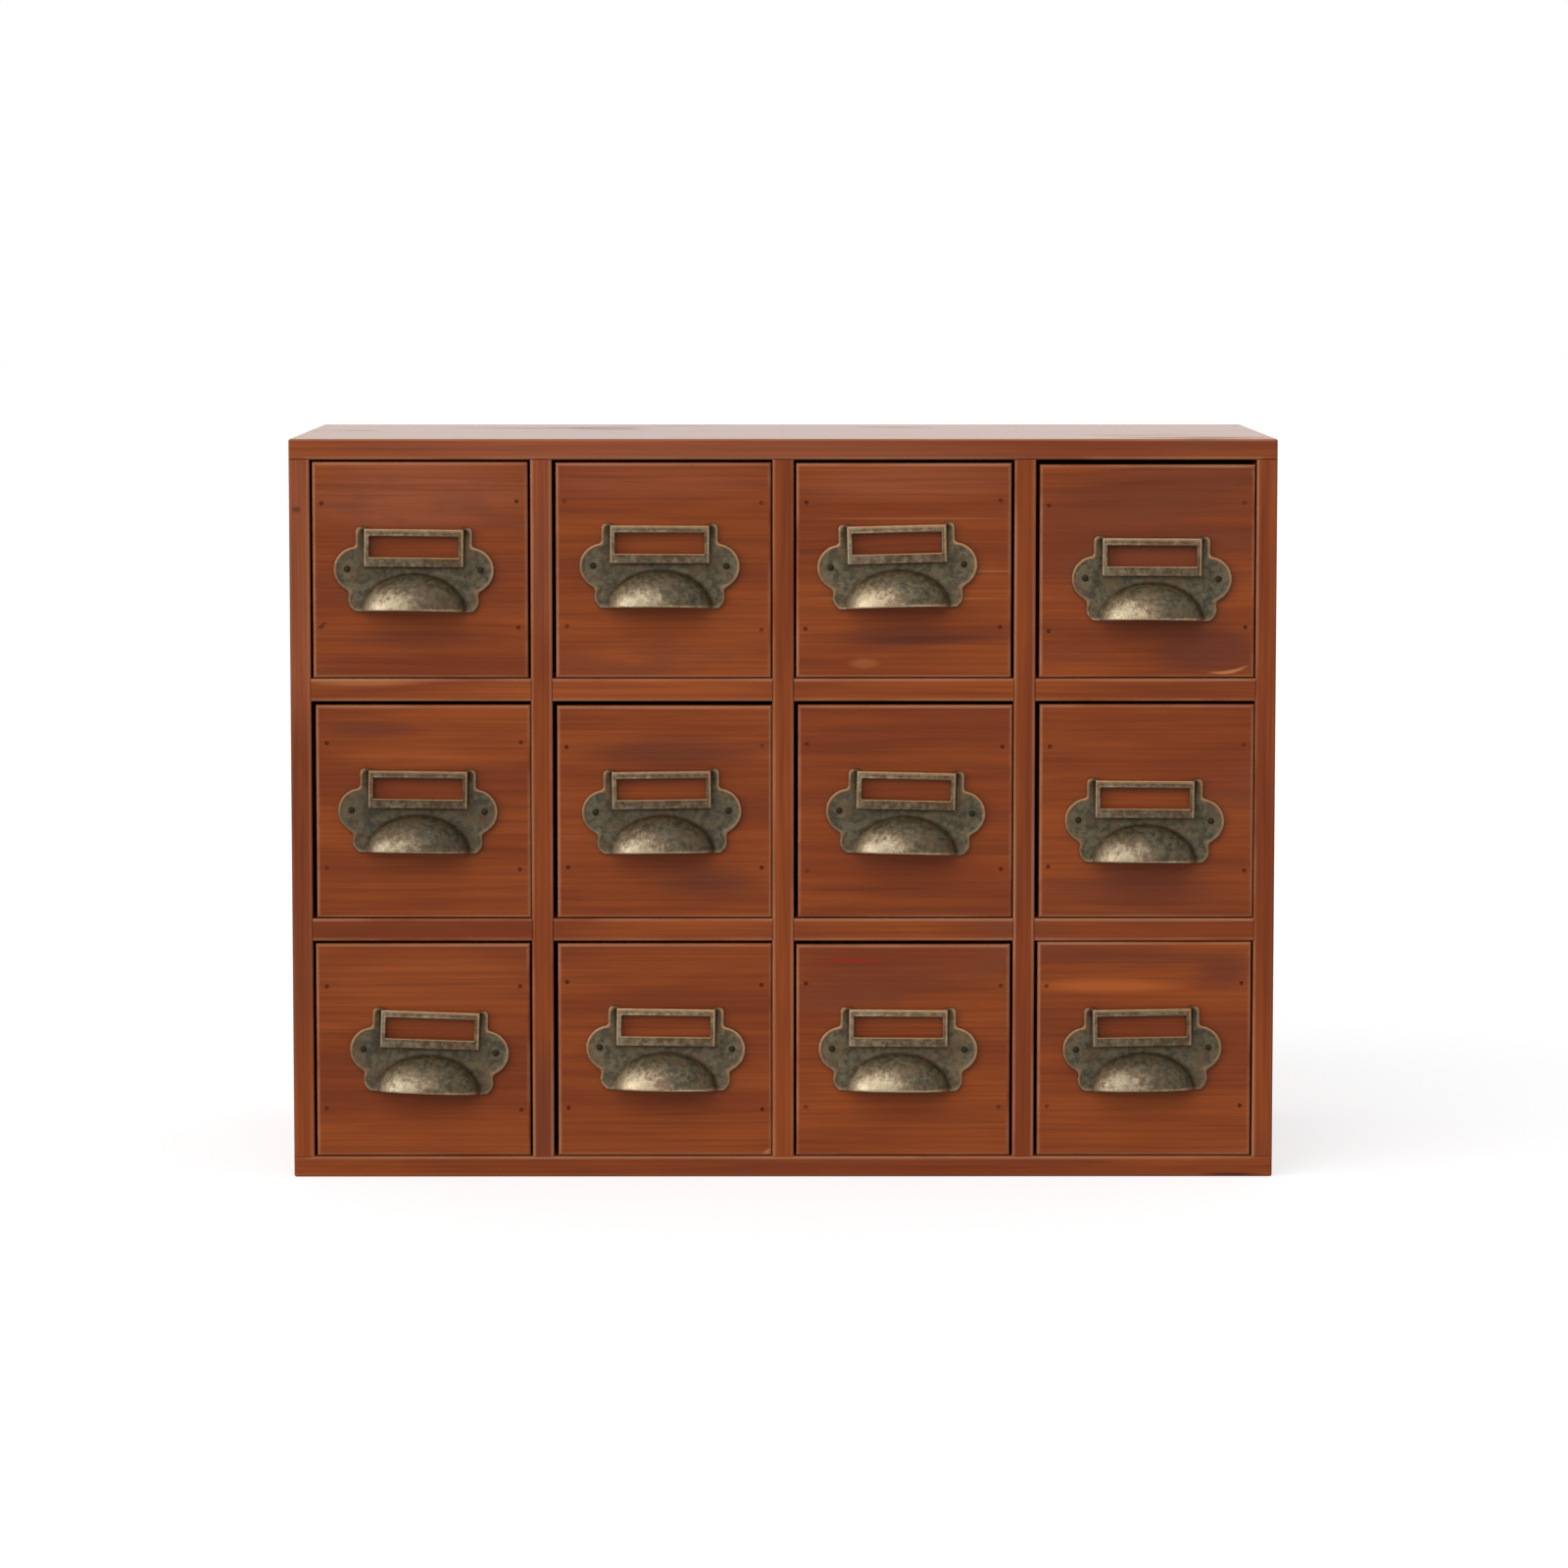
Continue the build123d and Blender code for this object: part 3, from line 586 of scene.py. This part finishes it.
# dirt, and painted shade in the corners beside the frame and round the cup's root
GRIME_AND_SHADE = srgb(40, 28, 14)
MOTTLE = Noise((0.45, 0.45, 0.45), 4, 0.6)
GRIT = Noise((1.6, 1.6, 1.6), 2)
PATCHES = Noise((0.13, 0.13, 0.13), 2)
MOTTLE_SHARE = 0.7  # of the patina's relief, and the rest is grit
PATINA_DEPTH = 0.35  # mm
# Where each noise or attribute begins to show in the patina, and where it shows in full
GREEN_MOTTLE = (0.36, 0.64)
BROWN_PATCHES = (0.4, 0.7)
BROWN_BELLY = (0.05, 0.4)
BROWN_EDGE = (0.1, 0.2)
RUBBED = (0.1, 1.0)
FLECKED_BELLY = (0.0, 0.4)
# How strongly patina and bare brass mingle on the cup, in flecks and in patches, and along the edges
FLECK_CONTRAST = 2.4
FLECK_PATCHES = (-0.35, 0.35)
EDGE_FLECKS = 0.7
# How brown the patches and the worn parts get, and how dark the dirt and painted shade
PATCH_SHARE = 0.6
WORN_BROWN_SHARE = 0.85
GRIME_AND_SHADE_SHARE = 0.9
PULLS_APART = 400.0  # mm by which the pulls' noises are set apart, at most
PULL_USE = (0.75, 1.25)  # how worn the cups are, from the least to the most
PULL_TONE = (0.8, 1.2)  # and how light the pulls are
# Under the whole patina, and where wear and painted highlights bare the brass
BRASS_METAL = (0.3, 0.6)
BRASS_ROUGHNESS = (0.48, 0.36)
BRASS_SHEEN = (0.4, 1.0)


def smooth_max(a, b, blend):
    """The larger of two distances, with the crease between them rounded."""
    h = np.clip(0.5 + 0.5 * (a - b) / blend, 0, 1)
    return b + (a - b) * h + blend * h * (1 - h)


def smooth_min(a, b, blend):
    return -smooth_max(-a, -b, blend)


def span(value, low, high):
    """Signed distance outside the stretch from low to high."""
    return np.maximum(low - value, value - high)


def ellipsoid(x, height, z, axes):
    """Signed distance to the cup's ellipsoid, whose middle is the middle of the mouth."""
    at = np.stack([x, height, z - PULL_FOOT])
    axes = np.array(axes).reshape(3, *[1] * (at.ndim - 1))
    near = np.sqrt(((at / axes) ** 2).sum(0))
    slope = np.sqrt(((at / axes**2) ** 2).sum(0))
    return near * (near - 1) / np.maximum(slope, 1e-6)


def plate_edge(x, z):
    """Signed distance to the plate's outline: a square head with ears, a lobe at each side, small feet."""
    side = np.abs(x)
    body = smooth_max(side - PULL_HALF_WIDTH, span(z, PULL_FOOT, EAR_TOP), HEAD_CORNER)
    lobe = np.hypot(side - LOBE_MIDDLE[0], z - LOBE_MIDDLE[1]) - LOBE_RADIUS
    foot = np.hypot(side - FOOT_MIDDLE[0], z - FOOT_MIDDLE[1]) - FOOT_RADIUS
    sides = smooth_min(lobe, foot, FOOT_BLEND)
    return np.maximum(smooth_min(body, sides, SIDE_BLEND), PULL_FOOT - z)


def frame_inset(x, z):
    """How far inside the label frame's outline a point is."""
    return np.minimum(FRAME_HALF_WIDTH - np.abs(x), np.minimum(z - FRAME_FOOT, PULL_TOP - z))


def pull_field(x, height, z):
    """Signed distance to the cast pull, negative inside the metal."""
    edge = plate_edge(x, z)
    rise = np.clip((edge + RIM_WIDTH) / (RIM_WIDTH - RIM_FLAT), 0, 1)
    bead = rise**2 * (3 - 2 * rise)
    plate = smooth_max(edge, height - PLATE_THICKNESS - RIM_HEIGHT * bead, PLATE_EDGE)
    metal = smooth_min(plate, ellipsoid(x, height, z, CUP_AXES), CUP_FILLET)

    side = np.abs(x)
    inset = frame_inset(x, z)
    window = np.maximum(side - WINDOW_HALF_WIDTH, span(z, *WINDOW_SPAN))
    dish = DISH_DEPTH * np.clip((np.minimum(inset, window) - DISH_INSET) / DISH_SLOPE, 0, 1)
    bars = smooth_max(-inset, height - FRAME_STAND + dish, FRAME_EDGE)
    metal = smooth_min(metal, bars, FRAME_FILLET)
    metal = smooth_max(metal, -window, FRAME_EDGE)

    slot = np.maximum(np.maximum(side - SLOT_HALF_WIDTH, SLOT_FOOT - z), height - SLOT_DEPTH)
    hollow = ellipsoid(x, height, z, [axis - CUP_WALL for axis in CUP_AXES])
    below = PULL_FOOT + MOUTH_LEAN * height - z
    metal = smooth_max(metal, below, LIP_EDGE)
    return np.maximum.reduce([metal, -slot, -hollow, -height])


def surface_net(field, low, step):
    """Vertices and quads of the surface where a sampled field changes sign, negative inside."""
    cells = tuple(n - 1 for n in field.shape)
    total, count = np.zeros(cells + (3,)), np.zeros(cells)
    for axis in range(3):
        for corner in np.ndindex(2, 2):
            start = np.insert(corner, axis, 0)
            end = np.insert(corner, axis, 1)
            first = field[tuple(slice(s, s + n) for s, n in zip(start, cells))]
            last = field[tuple(slice(e, e + n) for e, n in zip(end, cells))]
            crossed = (first < 0) != (last < 0)
            share = first / np.where(crossed, first - last, 1)
            count += crossed
            for other in range(3):
                at = share if other == axis else start[other]
                total[..., other] += crossed * at
    used = count > 0
    vertices = (np.argwhere(used) + total[used] / count[used][:, None]) * step + low
    number = np.full(cells, -1)
    number[used] = np.arange(len(vertices))
    quads = []
    for axis in range(3):
        turned = (axis, (axis + 1) % 3, (axis + 2) % 3)
        inside, cell = np.transpose(field < 0, turned), np.transpose(number, turned)
        first, last = inside[:-1, 1:-1, 1:-1], inside[1:, 1:-1, 1:-1]
        ring = [cell[:, :-1, :-1], cell[:, 1:, :-1], cell[:, 1:, 1:], cell[:, :-1, 1:]]
        for outward, order in ((first & ~last, 1), (last & ~first, -1)):
            quads.append(np.stack([side[outward] for side in ring], axis=1)[:, ::order])
    return vertices, np.concatenate(quads)


def pull_mesh():
    """The cast pull as a mesh in metres, facing -Y, with attributes for its edges and its cup, where wear
    and painted highlights show bright brass, and for its dirt and painted shade."""
    low, step = np.array(GRID_LOW), np.array(GRID_STEP)
    axes = [np.arange(a, b, s) for a, b, s in zip(low, np.array(GRID_HIGH), step)]
    x, height, z = np.meshgrid(*axes, indexing="ij")
    vertices, quads = surface_net(pull_field(x, height, z), low, step)
    vertices = vertices * (1, -1, 1) * MM
    mesh = bpy.data.meshes.new("cup_pull")
    mesh.from_pydata(vertices.tolist(), [], quads[:, ::-1].tolist())
    mesh.shade_smooth()
    thinned = thin_out(mesh)
    places = np.empty(len(thinned.vertices) * 3)
    thinned.vertices.foreach_get("co", places)
    x, y, z = places.reshape(-1, 3).T / MM
    for name, share in (("edge", edge_wear_and_highlight_share), ("belly_wear_and_highlight", belly_wear_and_highlight_share), ("grime_and_shade", grime_and_shade_share)):
        thinned.attributes.new(name, "FLOAT", "POINT").data.foreach_set("value", share(x, -y, z))
    return thinned


def thin_out(mesh):
    """The mesh with fewer faces where it is flat."""
    holder = bpy.data.objects.new("thinning", mesh)
    bpy.context.collection.objects.link(holder)
    holder.modifiers.new("thin", "DECIMATE").ratio = PULL_FACES_KEPT
    evaluated = holder.evaluated_get(bpy.context.evaluated_depsgraph_get())
    thinned = bpy.data.meshes.new_from_object(evaluated)
    bpy.data.objects.remove(holder)
    thinned.name = "cup_pull"
    return thinned


def on_bars(height, z):
    """Whether a point is on the front of the label frame."""
    return (height > FRAME_STAND - BAR_FRONT) & (z > FRAME_FOOT - FRAME_FILLET)


def edge_wear_and_highlight_share(x, height, z):
    """How much of the patina gives way to bright brass on the plate's rim and the label frame's upward and
    outer edges: wear, and a painted highlight on the frame's edges that face up.
    """
    rim = np.clip((height - PLATE_THICKNESS) / RIM_HEIGHT, 0, 1) * (plate_edge(x, z) > -RIM_BAND)
    ears = np.exp(-(((z - EAR_MIDDLE) / EAR_SPREAD) ** 2))
    brightened = RIM_WEAR + RIM_WEAR_RISE * np.clip(z / RIM_WEAR_SPAN, -1, 1) - EAR_SHELTER * ears
    side = np.abs(x)
    # edges that face up: wear, and a painted highlight where the light from above catches them
    upward = np.abs(z - np.where(side < WINDOW_HALF_WIDTH, WINDOW_SPAN[0], PULL_TOP))
    outer = np.minimum(np.abs(PULL_TOP - z), np.abs(FRAME_HALF_WIDTH - side))
    below_window = (z < WINDOW_SPAN[0]) & (side < WINDOW_HALF_WIDTH)
    least = np.where(below_window, LOWER_BAR_WEAR[0], BAR_WEAR[0])
    most = np.where(z < WINDOW_SPAN[0] + LOWER_BAR_LINE, LOWER_BAR_WEAR[1], BAR_WEAR[1])
    from_line = np.minimum(upward, outer) - LINE_HALF_WIDTH
    line = np.clip(LINE_WEAR_AND_HIGHLIGHT - from_line / LINE_FADE, least, most)
    return np.maximum(brightened * rim, line * on_bars(height, z))


def belly_wear_and_highlight_share(x, height, z):
    """How much of the patina gives way to bright brass on the cup and the frame's uprights: wear where
    fingers hold them, and a painted highlight strongest on the cup's lower left and on the left upright.
    """
    left, right, upright = BELLY_HIGHLIGHT_SPREAD
    aside = (x - BELLY_HIGHLIGHT_MIDDLE[0]) / np.where(x < BELLY_HIGHLIGHT_MIDDLE[0], left, right)
    # painted highlight on the cup's lower left and left flank, together with the wear of fingers
    belly_wear_and_highlight = np.exp(-(aside**2) - ((z - BELLY_HIGHLIGHT_MIDDLE[1]) / upright) ** 2)
    flank = [(at - middle) / spread for at, middle, spread in zip((x, z), FLANK_HIGHLIGHT_MIDDLE, FLANK_HIGHLIGHT_SPREAD)]
    belly_wear_and_highlight = np.maximum(belly_wear_and_highlight, FLANK_HIGHLIGHT * np.exp(-(flank[0] ** 2) - flank[1] ** 2))
    belly_wear_and_highlight = CUP_WEAR_AND_HIGHLIGHT[0] + (CUP_WEAR_AND_HIGHLIGHT[1] - CUP_WEAR_AND_HIGHLIGHT[0]) * belly_wear_and_highlight
    lip = np.clip(1 - (z - PULL_FOOT - MOUTH_LEAN * height) / LIP_WIDTH, 0, 1)
    cup = (height > PLATE_THICKNESS + CUP_START) & (z < CUP_TOP)
    uprights = on_bars(height, z) & (np.abs(x) > WINDOW_HALF_WIDTH)
    # the uprights: more painted highlight on the left one than on the right
    return np.maximum(belly_wear_and_highlight, LIP_WEAR * lip) * cup + np.where(x < 0, *UPRIGHT_WEAR_AND_HIGHLIGHT) * uprights


def grime_and_shade_share(x, height, z):
    """How much dark dirt and painted shade there is in the corners beside the frame, on its bars and round
    the cup's root.
    """
    # darkening in the corners beside the frame: painted shade and dirt
    beside_frame = np.exp(-((np.minimum(frame_inset(x, z), 0) / FRAME_DIRT_AND_SHADE_SPREAD) ** 2))
    beside_frame *= np.clip(1 - (height - FRAME_DIRT_AND_SHADE_FOOT) / FRAME_DIRT_AND_SHADE_HEIGHT, 0, 1)
    beside_frame *= np.clip((z - EAR_FOOT) / EAR_DIRT_AND_SHADE_RISE, LOW_DIRT_AND_SHADE, 1.0)
    # darkening round the cup's root: painted shade and dirt
    round_cup = np.exp(-((ellipsoid(x, height, z, CUP_AXES) / CUP_DIRT_AND_SHADE_SPREAD) ** 2))
    round_cup *= np.clip(1 - (height - PLATE_THICKNESS) / CUP_DIRT_AND_SHADE_HEIGHT, 0, 1)
    lower_bar = LOWER_BAR_GRIME + FOOT_GRIME * np.clip(LOWER_BAR_FOOT - z, 0, 1)
    bars = np.where(z < WINDOW_SPAN[0], lower_bar, BAR_GRIME) * on_bars(height, z)
    return np.maximum(beside_frame, round_cup) + bars * (1 - edge_wear_and_highlight_share(x, height, z))


def antique_brass():
    """Cast brass under a mottled dark patina, bared by wear and painted highlights and darkened by dirt
    and painted shade where the attributes say.
    """
    material, tree = new_material("antique_brass")
    own = tree.add("ObjectInfo").outputs["Random"]
    apart = tree.math("MULTIPLY", own, PULLS_APART)
    place = tree.vector("ADD", tree.place(), tree.join(apart, 0.0, apart))
    edge, belly_wear_and_highlight, grime_and_shade = [
        tree.add("Attribute", attribute_name=name).outputs["Fac"] for name in ("edge", "belly_wear_and_highlight", "grime_and_shade")
    ]
    mottle = tree.noise(place, MOTTLE)
    patches = tree.noise(place, PATCHES)
    spots = tree.math("MULTIPLY", tree.noise(place, GRIT), 1 - MOTTLE_SHARE)
    spots = tree.math("ADD", tree.math("MULTIPLY", mottle, MOTTLE_SHARE), spots)
    uneven = tree.math("SUBTRACT", spots, 0.5)

    flecks = tree.math("MULTIPLY_ADD", uneven, FLECK_CONTRAST, tree.ramp(patches, *FLECK_PATCHES))
    flecks = tree.math("MULTIPLY", flecks, tree.step(belly_wear_and_highlight, *FLECKED_BELLY))
    use = tree.math("MULTIPLY", belly_wear_and_highlight, tree.ramp(own, *PULL_USE))
    # bright brass: wear, and the painted highlight of the cup
    bright_and_highlit = tree.step(tree.math("ADD", use, flecks), *RUBBED)
    worn_and_highlit = tree.math("MAXIMUM", tree.step(belly_wear_and_highlight, *BROWN_BELLY), tree.step(edge, *BROWN_EDGE))
    browned = tree.math("MULTIPLY", tree.step(patches, *BROWN_PATCHES), PATCH_SHARE)
    brown = tree.math("MAXIMUM", browned, tree.math("MULTIPLY", worn_and_highlit, WORN_BROWN_SHARE))
    edge = tree.math("ADD", edge, tree.math("MULTIPLY", uneven, EDGE_FLECKS))
    edge = tree.step(edge, *RUBBED)

    colour = tree.mix(tree.step(mottle, *GREEN_MOTTLE), PATINA_DARK, PATINA_GREEN)
    colour = tree.mix(brown, colour, PATINA_BROWN)
    colour = tree.mix(edge, colour, BRASS_EDGE)
    colour = tree.mix(bright_and_highlit, colour, BRASS_RUBBED_AND_LIT)
    # darkened by dirt and painted shade, which also take away the sheen
    colour = tree.tint(colour, GRIME_AND_SHADE, grime_and_shade, GRIME_AND_SHADE_SHARE)
    brightened = tree.math("MAXIMUM", edge, bright_and_highlit)
    clean_and_unshaded = tree.math("SUBTRACT", 1.0, grime_and_shade)
    tree.surface(
        {
            "Base Color": tree.scale(colour, tree.ramp(own, *PULL_TONE)),
            "Metallic": tree.math("MULTIPLY", tree.ramp(brightened, *BRASS_METAL), clean_and_unshaded),
            "Roughness": tree.ramp(brightened, *BRASS_ROUGHNESS),
            "Specular IOR Level": tree.math("MULTIPLY", tree.ramp(bright_and_highlit, *BRASS_SHEEN), clean_and_unshaded),
            "Normal": tree.bump(spots, PATINA_DEPTH),
        }
    )
    return material


def pull_placement(node):
    """Where a drawer's pull sits and how it leans, read from the upper corners of its label frame."""
    points = [vertex.co for vertex in frame["nodes"][node].data.vertices]
    wood = max(point.y for point in points)
    face = [point for point in points if abs(wood - point.y - FRAME_STAND * MM) < LEVEL * MM]
    left = max(face, key=lambda point: point.z - point.x)
    right = max(face, key=lambda point: point.z + point.x)
    lean = Matrix.Rotation(-math.atan2(right.z - left.z, right.x - left.x), 4, "Y")
    pin_line = (left + right) / 2 - lean @ Vector((0, 0, PULL_TOP * MM))
    return Matrix.Translation((pin_line.x, wood, pin_line.z)) @ lean


def make_pulls():
    mesh, brass = pull_mesh(), antique_brass()
    mesh.materials.append(brass)
    for drawer in DRAWERS:
        node = drawer + "_pull"
        pull = bpy.data.objects.new(drawer + "_cup_pull", mesh)
        bpy.context.collection.objects.link(pull)
        pull.matrix_world = pull_placement(node)
        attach(pull, drawer)
        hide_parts(node)


# --- Iron -------------------------------------------------------------------------------------------
IRON_DARK = srgb(44, 36, 22)
HEAD_DARK = srgb(80, 36, 19)
HEAD_STAINED = srgb(114, 53, 27)  # stained over along with the wood
IRON_PATCHES = Noise((0.12, 0.12, 0.12), 2)
STAINED_PATCHES = (0.4, 0.6)
PIN_REACH = (0.7, 0.8)  # mm off the drawers' fronts where only pins reach, least and most
IRON_ROUGHNESS = 0.6
IRON_GLOSS = 0.1


def dark_iron():
    """Dull dark iron of the nails and pins. Heads in the wood are stained over, those of the pins aren't."""
    material, tree = new_material("dark_iron")
    place = tree.place()
    patches = tree.noise(place, IRON_PATCHES)
    colour = tree.mix(tree.step(patches, *STAINED_PATCHES), HEAD_DARK, HEAD_STAINED)
    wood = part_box(DRAWERS[0] + "_front")[0].y / MM
    pins = tree.step(tree.split(place)[1], *[wood - reach for reach in PIN_REACH])
    colour = tree.mix(pins, colour, IRON_DARK)
    tree.surface(
        {"Base Color": colour, "Roughness": IRON_ROUGHNESS, "Specular IOR Level": IRON_GLOSS}
    )
    return material


# --- Dressing the frame's pieces --------------------------------------------------------------------
def dress_case():
    grains = {"case_top": "x", "case_bottom": "x", "case_left_side": "z", "case_right_side": "z"}
    grains |= {node: "z" for node in frame["nodes"] if node.startswith("divider_")}
    grains |= {node: "x" for node in frame["nodes"] if node.startswith("shelf_")}
    for node, along in grains.items():
        gloss = TOP_GLOSS if node == "case_top" else CASE_GLOSS
        dress(frame["nodes"][node], stained_wood(node, along, CASE_DUST, gloss, open_ended=along))
    dress(frame["nodes"]["back_panel"], raw_wood("plywood"))


def dress_drawers():
    box_wood = raw_wood("raw_wood")
    for drawer, dust in zip(DRAWERS, FRONT_DUST):
        front = drawer + "_front"
        dress(frame["nodes"][front], stained_wood(front, "x", dust, CASE_GLOSS))
        dress(frame["nodes"][drawer + "_box"], box_wood)


def dress_nails():
    iron = dark_iron()
    for name, node in frame["nodes"].items():
        if name.endswith("_nails"):
            dress(node, iron)


# --- Surroundings -----------------------------------------------------------------------------------
def sees_background(tree):
    """1 for camera, glossy and transmission rays."""
    path = tree.add("LightPath").outputs
    seen = tree.math("MAXIMUM", path["Is Camera Ray"], path["Is Glossy Ray"])
    return tree.math("MAXIMUM", seen, path["Is Transmission Ray"])


def make_floor():
    """A white floor that keeps the object's shadow."""
    half = FLOOR_SIZE / 2
    mesh = bpy.data.meshes.new("floor")
    corners = [(-half, -half, 0), (half, -half, 0), (half, half, 0), (-half, half, 0)]
    mesh.from_pydata(corners, [], [(0, 1, 2, 3)])
    floor = bpy.data.objects.new("floor", mesh)
    bpy.context.collection.objects.link(floor)
    floor.location.z = -FLOOR_DROP
    material, tree = new_material("white_floor")
    glow = tree.math("MULTIPLY", sees_background(tree), FLOOR_GLOW)
    tree.surface(
        {
            "Base Color": (FLOOR_ALBEDO, FLOOR_ALBEDO, FLOOR_ALBEDO, 1.0),
            "Roughness": FLOOR_ROUGHNESS,
            "Specular IOR Level": FLOOR_GLOSS,
            "Emission Color": WHITE,
            "Emission Strength": glow,
        }
    )
    dress(floor, material)


def make_world():
    """White to the camera and in reflections, and a plain soft light to everything else."""
    world = bpy.data.worlds.new("studio")
    bpy.context.scene.world = world
    tree = Tree(world)
    strength = tree.math("MAXIMUM", sees_background(tree), SKY_LIGHT)
    background = tree.add("Background", {"Color": WHITE, "Strength": strength})
    tree.add("OutputWorld", {"Surface": background.outputs[0]})


def add_sun(name, source, width, strength):
    """A soft lamp far away in the direction of source, which lights the floor evenly."""
    lamp = bpy.data.lights.new(name, "SUN")
    lamp.angle, lamp.energy = math.radians(width), strength
    lamp_object = bpy.data.objects.new(name, lamp)
    bpy.context.collection.objects.link(lamp_object)
    lamp_object.location = source
    lamp_object.rotation_euler = Vector(source).to_track_quat("Z", "Y").to_euler()


def make_camera():
    camera = bpy.data.cameras.new("camera")
    camera.lens = CAMERA_LENS
    camera_object = bpy.data.objects.new("camera", camera)
    bpy.context.collection.objects.link(camera_object)
    camera_object.location = CAMERA_PLACE
    camera_object.rotation_euler = (math.radians(90 + CAMERA_PITCH), 0, math.radians(CAMERA_YAW))
    bpy.context.scene.camera = camera_object


make_camera()
make_world()
make_floor()
add_sun("key", KEY_FROM, KEY_WIDTH, KEY_STRENGTH)
add_sun("top", TOP_FROM, TOP_WIDTH, TOP_STRENGTH)
dress_case()
dress_drawers()
dress_nails()
make_pulls()
bpy.context.scene.view_settings.view_transform = "Standard"
